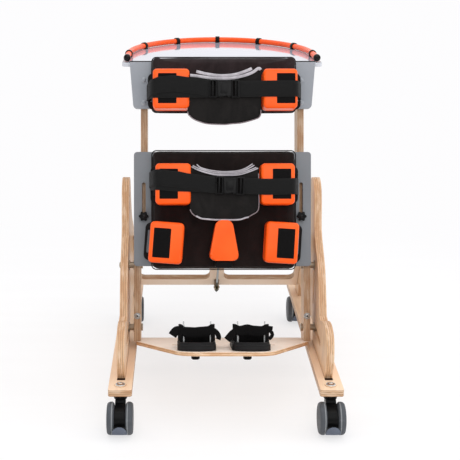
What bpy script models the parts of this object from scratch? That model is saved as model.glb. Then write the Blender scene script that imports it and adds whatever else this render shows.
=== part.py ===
"""Child's prone standing frame: plywood base on four twin-wheel castors, curved side plates,
a frame that tilts on slide bolts, a hip panel, a sliding chest unit with a tray, and supports.

Metres, +Z up. The user stands on the -Y side and leans towards +Y.
Base depths (named ..._Y) are measured from the front castor stems; the root empty then puts
the origin at the bottom centre of the whole object. Pieces of the tilting frame are placed in
the frame's own axes: x across, y (v) away from the user, z (w) up along the uprights.
"""

import math

import bmesh
import bpy
from mathutils import Matrix, Vector

# Clearances
GAP = 0.0003
RUNNING = 0.0005
HEAD_SINK = 0.001

# Castors
WHEEL_RADIUS = 0.0375
WHEEL_WIDTH = 0.018
CASTOR_WEB = 0.024
CASTOR_BODY_RADIUS = 0.031
CASTOR_SHOULDER = 0.0125
CASTOR_TRAIL = 0.030
CASTOR_HEIGHT = 0.090
CASTOR_NECK_RADIUS = 0.0145
HUB_RADIUS = 0.009
AXLE_RADIUS = 0.004
PEDAL_WIDTH = 0.035
PEDAL_THICK = 0.003
PEDAL_SEAT = 0.0006
PEDAL_LIFT = 0.0008
PEDAL_ANGLES = (206, 226)

# Base
RUNNER_X = 0.240
RUNNER_WIDTH = 0.054
RUNNER_THICK = 0.016
RUNNER_OVERHANG = 0.028
WHEELBASE = 0.692
STEM_BOLT_RADIUS = 0.0075
STEM_BOLT_RISE = 0.004
STEM_WASHER_RADIUS = 0.0142
PLATE_THICK = 0.018
PLATE_FOOT_FRONT_Y = 0.038
PLATE_FOOT_BACK_Y = 0.265
PLATE_LEG_FRONT_Y = 0.589
PLATE_LEG_BACK_Y = 0.655
PLATE_RISE = 0.397
PLATE_SHOULDER = 0.001
ARCH_HEIGHT = 0.046
ARCH_LEAN = 0.012
ARCH_CORNER = 0.026
TENON_DEPTH = 0.008
MORTISE_PLAY = 0.012
CROSS_BOARD_Y = 0.610
CROSS_BOARD_Z = 0.131
CROSS_BOARD_LEAN = math.radians(30)
CROSS_BOARD_HEIGHT = 0.190
CROSS_BOARD_THICK = 0.018
CROSS_RAIL = 0.025
CROSS_POST = 0.040
CROSS_END = 0.012
CROSS_WINDOW_CORNER = 0.016
CROSS_WINDOW_HEIGHT = 0.115

# Tilting frame
TILT = math.radians(16.5)
LOWER_PIN_Y = 0.233
LOWER_PIN_Z = 0.154
PIN_SPACING = 0.1545
PIN_RADIUS = 0.006
BUSH_RADIUS = 0.0079
SLOT_HALF_WIDTH = 0.0082
LOWER_SLOT_TRAVEL = 0.098
UPPER_SLOT_TRAVEL = 0.094
WASHER_RADIUS = 0.0125
WASHER_THICK = 0.002
SPACER_RADIUS = 0.008
SLIDE_HEAD = 0.004
SLIDE_HEAD_RADIUS = 0.0085
SLIDE_NUT = 0.0042
SLIDE_NUT_RADIUS = 0.009
UPRIGHT_X = 0.217
UPRIGHT_THICK = 0.016
UPRIGHT_DEPTH = 0.060
UPRIGHT_BOTTOM = -0.0317
PANEL_THICK = 0.012
HIP_PANEL_LOW = 0.153
HIP_PANEL_HEIGHT = 0.280
PANEL_CORNER = 0.008

# Footboard and foot holders
FOOTBOARD_THICK = 0.009
FOOTBOARD_FRONT = 0.258
FOOTBOARD_BACK = 0.055
FOOTBOARD_FRONT_HALF = 0.101
FOOTBOARD_CORNER = 0.048
FOOTBOARD_RUNNER_GAP = 0.002
FOOTBOARD_SIDE_V = -0.035
FOOT_X = 0.062
FOOT_SLOT_V = -0.107
FOOT_SLOT_OUT = 0.057
FOOT_SLOT_IN = 0.012
FOOT_SLOT_HALF = 0.0035
FOOT_HEEL_V = -0.243
FOOT_LENGTH = 0.160
FOOT_WIDTH = 0.090
FOOT_RIM = 0.019
FOOT_RIM_WALL = 0.004
FOOT_RIM_STEP = 0.0008
FOOT_RIM_LENGTH = 0.105
FOOT_POST_X = 0.031
FOOT_POST_TOP = 0.065
FOOT_POST_RADIUS = 0.003
FOOT_POST_V = -0.200
FOOT_KNOB_RADIUS = 0.009
FOOT_STRAP_THICK = 0.003
FOOT_STRAP_WIDTH = 0.024
FOOT_STRAP_FLARE = 0.017

# Masts, chest unit and tray
MAST_THICK = 0.016
MAST_NUT_GAP = 0.0025
MAST_TOP_DEPTH = 0.280
MAST_ARM_DEPTH = 0.030
CHEST_LOW = 0.539
CHEST_HEIGHT = 0.1145
CHEST_HALF_TOP = 0.2275
CHEST_HALF_BOTTOM = 0.218
CHEST_CORNER = 0.010
KNOB_W = 0.275
KNOB_TRAVEL = 0.079
KNOB_RADIUS = 0.0125
KNOB_HEIGHT = 0.014
KNOB_COLLAR = 0.009
KNOB_REACH = 0.012
STUD_RADIUS = 0.004
STUD_PLAY = 0.0004
BOLT_RADIUS = 0.0055
CHEST_BOLT_W = (0.553, 0.609)
TRAY_HALF_WIDTH = 0.247
TRAY_THICK = 0.010
TRAY_TOP_THICK = 0.003
TRAY_STRAIGHT = 0.110
TRAY_ARC = 0.358
TRAY_CORNER = 0.012
TRAY_TOP_INSET = 0.017
RAIL_INSET = 0.0125
RAIL_RADIUS = 0.0075
RAIL_LIFT = 0.001
RAIL_START = 0.012
RAIL_STEPS = 21
CLIP_WIDTH = 0.012
CLIP_WALL = 0.0022
CLIP_FOOT = 0.0088
CAP_WALL = 0.0015
CAP_LENGTH = 0.007
CLIP_SHARES = (0.08, 0.228, 0.368, 0.505, 0.642, 0.782, 0.922)

# Pads and supports
PAD_WIDTH = 0.346
PAD_THICK = 0.038
PAD_DRAWN_IN = 0.003
PAD_FULLNESS = 0.007
HIP_PAD_LOW = 0.1505
HIP_PAD_HEIGHT = 0.280
CHEST_PAD_LOW = 0.5255
CHEST_PAD_HEIGHT = 0.132
BLOCK_DEPTH = 0.054
BLOCK_CORNER = 0.014
BLOCK_EDGE = 0.006
BRACKET_THICK = 0.004
LOOP_REACH = 0.016
LOOP_BAR = 0.007
SUPPORT_TRAVEL = 0.020
CLAMP_RADIUS = 0.013
CLAMP_THICK = 0.010
CHEST_BLOCK = (0.129, 0.5755, 0.084, 0.094, 0.0)
HIP_BLOCK = (0.1236, 0.3505, 0.084, 0.097, 0.0)
KNEE_BLOCK = (0.1365, 0.2115, 0.084, 0.101, math.radians(3))
ABDUCTOR_BASE_HALF = 0.036
ABDUCTOR_TOP_HALF = 0.0155
ABDUCTOR_LOW = 0.1695
ABDUCTOR_TOP = 0.2647
ABDUCTOR_STUD_W = 0.185
ABDUCTOR_TRAVEL = 0.018
ABDUCTOR_DEPTH = 0.064
HOLDER_WIDTH = 0.046
HOLDER_LOW = 0.150

# Belts
WEB_WIDTH = 0.038
WEB_THICK = 0.002
BUCKLE_LENGTH = 0.068
BUCKLE_HEIGHT = 0.044
BUCKLE_THICK = 0.011
BUCKLE_PLAY = 0.0014
BELT_PAD_THICK = 0.012
BELT_END_GAP = 0.002
SOFT_GAP = 0.001
CHEST_WEB_RISE = -0.001
HIP_WEB_RISE = -0.002
HIP_WEB_SLOPE = -0.053
HIP_BUCKLE_X = 0.013

# Gas strut
STRUT_TOP_V = 0.0
STRUT_TOP_W = 0.262
STRUT_FOOT_Y = 0.588
STRUT_FOOT_Z = 0.132
STRUT_CYLINDER_RADIUS = 0.010
STRUT_CYLINDER_LENGTH = 0.165
STRUT_ROD_RADIUS = 0.003
STRUT_EYE_RADIUS = 0.012
STRUT_EYE_THICK = 0.006
STRUT_PIN_RADIUS = 0.003
STRUT_TOP_BORE = 0.0083
EYE_WALL = 0.0045
STRUT_ROD_IN = 0.020
STRUT_BORE_DEPTH = 0.120
STRUT_CONE_RADIUS = 0.0065
STRUT_CONE_LENGTH = 0.020
FORK_CHEEK = 0.003
BRACKET_HALF = 0.014

# Sizes that follow from those above
RUNNER_LOW = CASTOR_HEIGHT
RUNNER_TOP = RUNNER_LOW + RUNNER_THICK
RUNNER_FRONT_Y = -RUNNER_OVERHANG
RUNNER_BACK_Y = WHEELBASE + RUNNER_OVERHANG
PLATE_IN = RUNNER_X - PLATE_THICK / 2
PLATE_OUT = RUNNER_X + PLATE_THICK / 2
UPRIGHT_IN = UPRIGHT_X - UPRIGHT_THICK
UPRIGHT_FRONT = -UPRIGHT_DEPTH / 2
MAST_BOTTOM = PIN_SPACING + SLIDE_NUT_RADIUS + MAST_NUT_GAP
MAST_OUT = UPRIGHT_IN - RUNNING
MAST_X = MAST_OUT - MAST_THICK / 2
PANEL_BACK = UPRIGHT_FRONT - GAP
PANEL_FRONT = PANEL_BACK - PANEL_THICK
HIP_PANEL_TOP = HIP_PANEL_LOW + HIP_PANEL_HEIGHT
CHEST_TOP = CHEST_LOW + CHEST_HEIGHT
PAD_BACK = PANEL_FRONT - GAP
PAD_FRONT = PAD_BACK - PAD_THICK
BLOCK_BACK = PAD_FRONT - GAP - BRACKET_THICK
BLOCK_FRONT = BLOCK_BACK - BLOCK_DEPTH
WEB_FACE = BLOCK_FRONT - GAP - WEB_THICK / 2
PAD_OF_BELT = WEB_FACE + BUCKLE_THICK / 2 + GAP
FRAME_COS = math.cos(TILT)
FRAME_SIN = math.sin(TILT)
TRAY_FRONT_Y = LOWER_PIN_Y + UPRIGHT_FRONT * FRAME_COS + CHEST_TOP * FRAME_SIN
TRAY_TOP_Z = LOWER_PIN_Z + CHEST_TOP * FRAME_COS - UPRIGHT_FRONT * FRAME_SIN
TRAY_UNDER_Z = TRAY_TOP_Z - TRAY_THICK
TRAY_DEPTH = TRAY_STRAIGHT + TRAY_ARC
FRONT_MOST_Y = -CASTOR_TRAIL - WHEEL_RADIUS
BACK_MOST_Y = TRAY_FRONT_Y + GAP + TRAY_DEPTH
MIDDLE_Y = (FRONT_MOST_Y + BACK_MOST_Y) / 2
FOOTBOARD_TOP = UPRIGHT_BOTTOM - GAP
FOOTBOARD_HALF = RUNNER_X - RUNNER_WIDTH / 2 - FOOTBOARD_RUNNER_GAP


for old in list(bpy.data.objects):
    bpy.data.objects.remove(old, do_unlink=True)

PARTS = bpy.data.collections.new("standing_frame")
CUTTERS = bpy.data.collections.new("standing_frame_cutters")
bpy.context.scene.collection.children.link(PARTS)
bpy.context.scene.collection.children.link(CUTTERS)


def material(name, colour, roughness, metallic=0.0):
    """A plain finish with its colour, roughness and metallic value."""
    made = bpy.data.materials.new(name)
    made.use_nodes = True
    shader = made.node_tree.nodes["Principled BSDF"]
    shader.inputs["Base Color"].default_value = (*colour, 1.0)
    shader.inputs["Roughness"].default_value = roughness
    shader.inputs["Metallic"].default_value = metallic
    return made


PLYWOOD = material("plywood", (0.78, 0.56, 0.34), 0.5)
GREY_BOARD = material("grey_board", (0.19, 0.21, 0.23), 0.45)
TRAY_SHEET = material("tray_sheet", (0.82, 0.82, 0.90), 0.08)
DARK_FABRIC = material("dark_fabric", (0.018, 0.012, 0.012), 0.85)
ORANGE_FOAM = material("orange_foam", (1.0, 0.13, 0.015), 0.45)
ORANGE_TUBE = material("orange_tube", (1.0, 0.10, 0.01), 0.25)
BLACK_PLASTIC = material("black_plastic", (0.012, 0.012, 0.012), 0.4)
BLACK_STEEL = material("black_steel", (0.015, 0.015, 0.015), 0.45, 0.6)
WEBBING = material("webbing", (0.010, 0.010, 0.010), 0.9)
ZINC = material("zinc", (0.75, 0.76, 0.75), 0.25, 1.0)
STEEL = material("steel", (0.45, 0.47, 0.50), 0.25, 1.0)
TYRE = material("grey_tyre", (0.11, 0.13, 0.16), 0.6)
PEDAL_GREY = material("pedal_grey", (0.20, 0.26, 0.32), 0.5)


def empty(name, location, rotation=(0, 0, 0), parent=None):
    """A joint's or an assembly's own axes."""
    made = bpy.data.objects.new(name, None)
    made.empty_display_size = 0.03
    PARTS.objects.link(made)
    made.location = location
    made.rotation_euler = rotation
    made.parent = parent
    return made


def place(made, finish, parent, location=(0, 0, 0), rotation=(0, 0, 0)):
    """Puts an object in the parts collection under its parent, with its finish."""
    if made.name not in PARTS.objects:
        PARTS.objects.link(made)
    made.data.materials.clear()
    made.data.materials.append(finish)
    made.parent = parent
    made.location = location
    made.rotation_euler = rotation
    made.data.shade_smooth()
    made.data.set_sharp_from_angle(angle=math.radians(35))
    return made


def mesh_object(name, shape):
    """An object from a bmesh."""
    data = bpy.data.meshes.new(name)
    shape.to_mesh(data)
    shape.free()
    return bpy.data.objects.new(name, data)


def facing_out(shape):
    """Turns every face of a closed shape outwards."""
    bmesh.ops.recalc_face_normals(shape, faces=shape.faces)
    if shape.calc_volume(signed=True) < 0:
        bmesh.ops.reverse_faces(shape, faces=shape.faces)


def block(name, low, high, round_edges=0.0, segments=2):
    """A box between two corners, with optional rounded edges."""
    low = Vector(low)
    high = Vector(high)
    shape = bmesh.new()
    bmesh.ops.create_cube(shape, size=1.0)
    bmesh.ops.scale(shape, vec=high - low, verts=shape.verts)
    bmesh.ops.translate(shape, vec=(low + high) / 2, verts=shape.verts)
    made = mesh_object(name, shape)
    if round_edges:
        bevel(made, round_edges, segments)
    return made


def bevel(made, width, segments=2):
    """Rounded edges."""
    added = made.modifiers.new("rounded_edges", "BEVEL")
    added.width = width
    added.segments = segments
    added.limit_method = "ANGLE"
    added.angle_limit = math.radians(40)
    return made


TURNS = {"X": (math.radians(90), 0, math.radians(90)), "Y": (math.radians(90), 0, 0), "Z": (0, 0, 0)}


def plate(name, loops, thickness, across="Y", centre=0.0):
    """A flat board from closed outlines, the first the edge and the rest its openings.

    Across X the outline is in (y, z), across Y in (x, z) and across Z in (x, y).
    """
    outline = bpy.data.curves.new(name, "CURVE")
    outline.dimensions = "2D"
    outline.fill_mode = "BOTH"
    outline.extrude = thickness / 2
    for loop in loops:
        spline = outline.splines.new("POLY")
        spline.points.add(len(loop) - 1)
        for point, (a, b) in zip(spline.points, loop):
            point.co = (a, b, 0, 1)
        spline.use_cyclic_u = True
    drawn = bpy.data.objects.new(name, outline)
    drawn.rotation_euler = TURNS[across]
    drawn.location = {"X": (centre, 0, 0), "Y": (0, centre, 0), "Z": (0, 0, centre)}[across]
    return as_mesh(drawn)


def as_mesh(drawn):
    """The welded mesh of a curve, with the curve's own place worked in."""
    bpy.context.scene.collection.objects.link(drawn)
    bpy.context.view_layer.update()
    graph = bpy.context.evaluated_depsgraph_get()
    data = bpy.data.meshes.new_from_object(drawn.evaluated_get(graph))
    shape = bmesh.new()
    shape.from_mesh(data)
    bmesh.ops.remove_doubles(shape, verts=shape.verts, dist=1e-6)
    bmesh.ops.transform(shape, matrix=drawn.matrix_world, verts=shape.verts)
    facing_out(shape)
    name = drawn.name
    bpy.data.objects.remove(drawn, do_unlink=True)
    bpy.data.meshes.remove(data)
    return mesh_object(name, shape)


def tube(name, points, radius, sides=3):
    """A round bar or tube along points, with closed ends."""
    line = bpy.data.curves.new(name, "CURVE")
    line.dimensions = "3D"
    line.bevel_depth = radius
    line.bevel_resolution = sides
    line.use_fill_caps = True
    spline = line.splines.new("POLY")
    spline.points.add(len(points) - 1)
    for point, place_at in zip(spline.points, points):
        point.co = (*place_at, 1)
    return as_mesh(bpy.data.objects.new(name, line))


def turned(name, profile, steps=24, along="Z"):
    """A turned solid from (radius, height) points that run down its outer side."""
    shape = bmesh.new()
    verts = [shape.verts.new((radius, 0, height)) for radius, height in profile]
    for first, second in zip(verts, verts[1:]):
        shape.edges.new((first, second))
    made = mesh_object(name, shape)
    spin = made.modifiers.new("turn", "SCREW")
    spin.axis = "Z"
    spin.steps = steps
    spin.render_steps = steps
    spin.use_merge_vertices = True
    spin.merge_threshold = 1e-5
    spin.use_normal_calculate = True
    return baked(made, along)


def baked(made, along="Z"):
    """The object with its modifiers worked into the mesh, turned to lie along an axis."""
    bpy.context.scene.collection.objects.link(made)
    bpy.context.view_layer.update()
    graph = bpy.context.evaluated_depsgraph_get()
    data = bpy.data.meshes.new_from_object(made.evaluated_get(graph))
    shape = bmesh.new()
    shape.from_mesh(data)
    bmesh.ops.remove_doubles(shape, verts=shape.verts, dist=1e-6)
    for vert in shape.verts:
        x, y, z = vert.co
        if along == "X":
            vert.co = (z, x, y)
        elif along == "Y":
            vert.co = (y, z, x)
    facing_out(shape)
    name = made.name
    bpy.data.objects.remove(made, do_unlink=True)
    bpy.data.meshes.remove(data)
    return mesh_object(name, shape)


def apply_boolean(made, tools, operation):
    """Cuts tools out of an object, or joins them to it, and keeps the tools as cutters."""
    for tool in tools:
        if tool.name not in CUTTERS.objects:
            CUTTERS.objects.link(tool)
        tool.hide_render = True
        tool.display_type = "WIRE"
        tool.parent = made.parent
        added = made.modifiers.new(operation.lower(), "BOOLEAN")
        added.operation = operation
        added.solver = "EXACT"
        added.object = tool
    return made


def merged(made, tools, operation="UNION"):
    """The mesh of an object after joining or cutting tools, with the tools used up."""
    bpy.context.scene.collection.objects.link(made)
    for tool in tools:
        bpy.context.scene.collection.objects.link(tool)
        added = made.modifiers.new("shape", "BOOLEAN")
        added.operation = operation
        added.solver = "EXACT"
        added.object = tool
    done = baked_in_place(made)
    for tool in tools:
        bpy.data.objects.remove(tool, do_unlink=True)
    return done


def baked_in_place(made):
    """The object with its modifiers worked into the mesh."""
    bpy.context.view_layer.update()
    graph = bpy.context.evaluated_depsgraph_get()
    data = bpy.data.meshes.new_from_object(made.evaluated_get(graph))
    name = made.name
    bpy.data.objects.remove(made, do_unlink=True)
    data.name = name
    return bpy.data.objects.new(name, data)


def arc(centre, radius, start, end, steps):
    """Points along an arc, angles in degrees."""
    points = []
    for step in range(steps + 1):
        angle = math.radians(start + (end - start) * step / steps)
        points.append((centre[0] + radius * math.cos(angle), centre[1] + radius * math.sin(angle)))
    return points


def circle(centre, radius, steps=20):
    """A closed round outline."""
    return arc(centre, radius, 0, 360, steps)[:-1]


def slot(start, end, half_width, steps=8):
    """A closed outline with round ends between two points."""
    heading = math.degrees(math.atan2(end[1] - start[1], end[0] - start[0]))
    far = arc(end, half_width, heading - 90, heading + 90, steps)
    near = arc(start, half_width, heading + 90, heading + 270, steps)
    return far + near


def rounded(corners, steps=4):
    """An outline from (x, y, radius) corners, each rounded by its radius."""
    points = []
    count = len(corners)
    for index, (x, y, radius) in enumerate(corners):
        here = Vector((x, y))
        if radius <= 0:
            points.append((x, y))
            continue
        before = (Vector(corners[index - 1][:2]) - here).normalized()
        after = (Vector(corners[(index + 1) % count][:2]) - here).normalized()
        half = before.angle(after) / 2
        reach = radius / math.tan(half)
        middle = here + (before + after).normalized() * (radius / math.sin(half))
        first = here + before * reach - middle
        last = here + after * reach - middle
        sweep = first.angle_signed(last)
        for step in range(steps + 1):
            turn = -sweep * step / steps
            spun = Vector((
                first.x * math.cos(turn) - first.y * math.sin(turn),
                first.x * math.sin(turn) + first.y * math.cos(turn),
            ))
            points.append(tuple(middle + spun))
    return points


def rectangle(low, high, radius=0.0, steps=4):
    """A rectangular outline with rounded corners."""
    corners = ((low[0], low[1]), (high[0], low[1]), (high[0], high[1]), (low[0], high[1]))
    return rounded([(x, y, radius) for x, y in corners], steps)


def smooth(points, steps=3):
    """A smooth open line through points."""
    line = []
    for index in range(len(points) - 1):
        before = Vector(points[max(index - 1, 0)])
        first = Vector(points[index])
        second = Vector(points[index + 1])
        after = Vector(points[min(index + 2, len(points) - 1)])
        for step in range(steps):
            t = step / steps
            along = (
                2 * first
                + (second - before) * t
                + (2 * before - 5 * first + 4 * second - after) * t * t
                + (3 * first - before - 3 * second + after) * t ** 3
            ) / 2
            line.append(tuple(along))
    line.append(tuple(points[-1]))
    return line


def mirrored(loop):
    """An outline turned over left to right."""
    return [(-x, y) for x, y in reversed(loop)]


def moved(made, vector):
    """Shifts a solid inside its own axes."""
    made.data.transform(Matrix.Translation(Vector(vector)))
    return made


def turned_part(made, angle, axis="X"):
    """Turns a solid inside its own axes."""
    made.data.transform(Matrix.Rotation(angle, 4, axis))
    return made


def dome_bolt(name, radius, height, washer=0.0, along="Z", steps=8):
    """A dome head over an optional washer, pointing up from a face at height 0."""
    rise = WASHER_THICK if washer else 0.0
    rim = washer if washer else radius
    profile = [
        (0, rise + height),
        (radius * 0.55, rise + height * 0.86),
        (radius * 0.90, rise + height * 0.45),
        (radius, rise),
    ]
    if washer:
        profile.append((rim, rise))
    profile += [(rim, -HEAD_SINK), (0, -HEAD_SINK)]
    return turned(name, profile, steps, along)


def facing_user(made):
    """Turns a bolt that points along +Y to point along -Y."""
    return turned_part(made, math.pi, "X")


SIDES = (("left", -1), ("right", 1))
ROOT = empty("standing_frame_origin", (0, -MIDDLE_Y, 0))


# Castors

def castor_housing(name):
    """Body between the wheels and round neck of a twin-wheel castor, about its stem."""
    axle = (-CASTOR_TRAIL, WHEEL_RADIUS)
    neck_low = 2 * WHEEL_RADIUS + RUNNING
    shoulder = neck_low + RUNNING
    line = arc(axle, CASTOR_BODY_RADIUS, 100, 335, 14)
    line += [
        (CASTOR_SHOULDER - 0.001, shoulder - 0.024),
        (CASTOR_SHOULDER, shoulder - 0.010),
        (CASTOR_SHOULDER, shoulder),
        (-CASTOR_SHOULDER, shoulder),
    ]
    body = plate(name, [line], CASTOR_WEB, "X")
    neck = turned(name + "_neck", (
        (0, CASTOR_HEIGHT - GAP),
        (CASTOR_NECK_RADIUS, CASTOR_HEIGHT - GAP),
        (CASTOR_NECK_RADIUS, neck_low),
        (0, neck_low),
    ), 16)
    hole_radius = AXLE_RADIUS + STUD_PLAY
    hole = turned(name + "_hole", (
        (0, CASTOR_WEB), (hole_radius, CASTOR_WEB), (hole_radius, -CASTOR_WEB), (0, -CASTOR_WEB),
    ), 10, "X")
    body = merged(body, [neck])
    return merged(body, [moved(hole, (0, *axle))], "DIFFERENCE")


def wheel_set(name):
    """Two wheels with crowned treads on their axle, turned as one, about the axle's middle."""
    inside = CASTOR_WEB / 2 + RUNNING
    outside = inside + WHEEL_WIDTH
    half = [
        (0, outside - 0.001),
        (HUB_RADIUS, outside - 0.001),
        (HUB_RADIUS + 0.002, outside - 0.004),
        (WHEEL_RADIUS - 0.007, outside - 0.001),
        (WHEEL_RADIUS - 0.002, outside - 0.004),
        (WHEEL_RADIUS, inside + WHEEL_WIDTH / 2),
        (WHEEL_RADIUS - 0.003, inside),
        (AXLE_RADIUS, inside),
    ]
    profile = half + [(radius, -height) for radius, height in reversed(half)]
    return turned(name, profile, 18, "X")


def brake_pedal(name):
    """Foot pedal that slides round the castor's body, with a lip over both treads, about the axle."""
    inner = CASTOR_BODY_RADIUS + PEDAL_SEAT
    lip_low = WHEEL_RADIUS + PEDAL_LIFT
    top, low = PEDAL_ANGLES
    stalk_line = arc((0, 0), inner, low, top, 4)
    stalk_line += arc((0, 0), lip_low + PEDAL_THICK / 2, top, low, 4)
    stalk = plate(name, [stalk_line], CASTOR_WEB - 4 * RUNNING, "X")
    lip_line = arc((0, 0), lip_low, low + 1, top - 1, 4)
    lip_line += arc((0, 0), lip_low + PEDAL_THICK, top - 1, low + 1, 4)
    lip = plate(name + "_lip", [lip_line], PEDAL_WIDTH, "X")
    return merged(stalk, [lip])


castors = (
    ("front_left", -1, 0.0),
    ("front_right", 1, 0.0),
    ("rear_left", -1, WHEELBASE),
    ("rear_right", 1, WHEELBASE),
)
for corner, side, depth in castors:
    stem = empty("castor_stem_" + corner, (side * RUNNER_X, depth, 0), parent=ROOT)
    place(castor_housing("castor_housing_" + corner), BLACK_PLASTIC, stem)
    axle = empty("castor_axle_" + corner, (0, -CASTOR_TRAIL, WHEEL_RADIUS), parent=stem)
    place(wheel_set("castor_wheels_" + corner), TYRE, axle)
    hinge = empty("pedal_hinge_" + corner, (0, -CASTOR_TRAIL, WHEEL_RADIUS), parent=stem)
    place(brake_pedal("brake_pedal_" + corner), PEDAL_GREY, hinge)


# Runners and side plates

for name, side in SIDES:
    outline = rectangle(
        (-RUNNER_WIDTH / 2, RUNNER_FRONT_Y),
        (RUNNER_WIDTH / 2, RUNNER_BACK_Y),
        0.006,
    )
    runner = plate("runner_" + name, [outline], RUNNER_THICK, "Z", RUNNER_LOW + RUNNER_THICK / 2)
    stem_bolts = []
    for depth in (0.0, WHEELBASE):
        bolt = dome_bolt("bolt", STEM_BOLT_RADIUS, STEM_BOLT_RISE, STEM_WASHER_RADIUS)
        stem_bolts.append(moved(bolt, (0, depth, RUNNER_TOP)))
    runner = merged(runner, stem_bolts)
    place(runner, PLYWOOD, ROOT, (side * RUNNER_X, 0, 0))
    pockets = (
        (PLATE_FOOT_FRONT_Y - MORTISE_PLAY, PLATE_FOOT_BACK_Y + GAP),
        (PLATE_LEG_FRONT_Y - GAP, PLATE_LEG_BACK_Y + GAP),
    )
    tools = []
    for index, (front, back) in enumerate(pockets):
        low = (-PLATE_THICK / 2 - GAP, front, RUNNER_TOP - TENON_DEPTH - GAP)
        high = (PLATE_THICK / 2 + GAP, back, RUNNER_TOP + 0.010)
        tool = block("mortise_%s_%d" % (name, index), low, high)
        tool.location = (side * RUNNER_X, 0, 0)
        tools.append(tool)
    apply_boolean(runner, tools, "DIFFERENCE")


def side_plate_outline():
    """Edge of a side plate in (y, z): front lobe, notch, swept fin, rear leg and low arch.

    The lobe and the fin are drawn in shares of the plate's depth and of its rise over the runner.
    """
    foot_low = RUNNER_TOP - TENON_DEPTH
    shoulder = RUNNER_TOP + PLATE_SHOULDER
    depth = PLATE_LEG_BACK_Y - PLATE_FOOT_FRONT_Y

    def drawn(shares):
        return [(PLATE_FOOT_FRONT_Y + a * depth, RUNNER_TOP + b * PLATE_RISE) for a, b in shares]

    lobe = smooth([(PLATE_FOOT_FRONT_Y, shoulder)] + drawn([
        (-0.016, 0.055),
        (-0.028, 0.149),
        (-0.008, 0.244),
        (0.039, 0.287),
        (0.100, 0.290),
        (0.162, 0.257),
    ]))
    fin = smooth(drawn([
        (0.196, 0.267),
        (0.222, 0.355),
        (0.271, 0.491),
        (0.310, 0.557),
        (0.363, 0.620),
        (0.423, 0.710),
        (0.446, 0.841),
        (0.473, 0.947),
        (0.525, 1.000),
        (0.583, 0.982),
        (0.619, 0.907),
        (0.639, 0.816),
        (0.681, 0.710),
        (0.749, 0.625),
        (0.833, 0.544),
        (0.914, 0.428),
        (0.972, 0.287),
        (1.000, 0.123),
    ]) + [(PLATE_LEG_BACK_Y, shoulder)])
    arch_top = RUNNER_TOP + ARCH_HEIGHT
    arch = rounded([
        (PLATE_LEG_BACK_Y, foot_low, 0),
        (PLATE_LEG_FRONT_Y, foot_low, 0),
        (PLATE_LEG_FRONT_Y, shoulder, 0),
        (PLATE_LEG_FRONT_Y - ARCH_LEAN / 2, arch_top, ARCH_CORNER),
        (PLATE_FOOT_BACK_Y + ARCH_LEAN, arch_top, ARCH_CORNER),
        (PLATE_FOOT_BACK_Y, shoulder, 0),
        (PLATE_FOOT_BACK_Y, foot_low, 0),
        (PLATE_FOOT_FRONT_Y, foot_low, 0),
    ], 5)
    return lobe + fin + arch


lean = Matrix.Rotation(CROSS_BOARD_LEAN, 4, "X")
UPPER_PIN_Y = LOWER_PIN_Y + PIN_SPACING * FRAME_SIN
UPPER_PIN_Z = LOWER_PIN_Z + PIN_SPACING * FRAME_COS
for name, side in SIDES:
    level_slot = slot(
        (LOWER_PIN_Y - LOWER_SLOT_TRAVEL, LOWER_PIN_Z),
        (LOWER_PIN_Y, LOWER_PIN_Z),
        SLOT_HALF_WIDTH,
    )
    upright_slot = slot(
        (UPPER_PIN_Y, UPPER_PIN_Z - UPPER_SLOT_TRAVEL),
        (UPPER_PIN_Y, UPPER_PIN_Z),
        SLOT_HALF_WIDTH,
    )
    side_plate = plate(
        "side_plate_" + name,
        [side_plate_outline(), level_slot, upright_slot],
        PLATE_THICK,
        "X",
    )
    screws = []
    for share in (CROSS_RAIL / 2, CROSS_BOARD_HEIGHT - CROSS_RAIL / 2):
        spot = lean @ Vector((0, CROSS_BOARD_THICK / 2, share))
        screw = dome_bolt("screw", BOLT_RADIUS, 0.003, 0.0, "X", 10)
        if side < 0:
            turned_part(screw, math.pi, "Z")
        out = side * PLATE_THICK / 2
        screws.append(moved(screw, (out, CROSS_BOARD_Y + spot.y, CROSS_BOARD_Z + spot.z)))
    side_plate = merged(side_plate, screws)
    place(side_plate, PLYWOOD, ROOT, (side * RUNNER_X, 0, 0))


# Rear cross board, leaning towards the user, with two windows either side of a post

board = empty(
    "cross_board_foot",
    (0, CROSS_BOARD_Y, CROSS_BOARD_Z),
    (CROSS_BOARD_LEAN, 0, 0),
    ROOT,
)
board_half = PLATE_IN - GAP
window_low = CROSS_RAIL
window_high = CROSS_RAIL + CROSS_WINDOW_HEIGHT
window = rectangle(
    (CROSS_POST / 2, window_low),
    (board_half - CROSS_END, window_high),
    CROSS_WINDOW_CORNER,
    5,
)
cross_board = plate(
    "rear_cross_board",
    [rectangle((-board_half, 0), (board_half, CROSS_BOARD_HEIGHT)), window, mirrored(window)],
    CROSS_BOARD_THICK,
    "Y",
    CROSS_BOARD_THICK / 2,
)
place(cross_board, PLYWOOD, board)


# Slide bolts: the lower pair runs in the level slots, the upper pair in the upright slots

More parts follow.
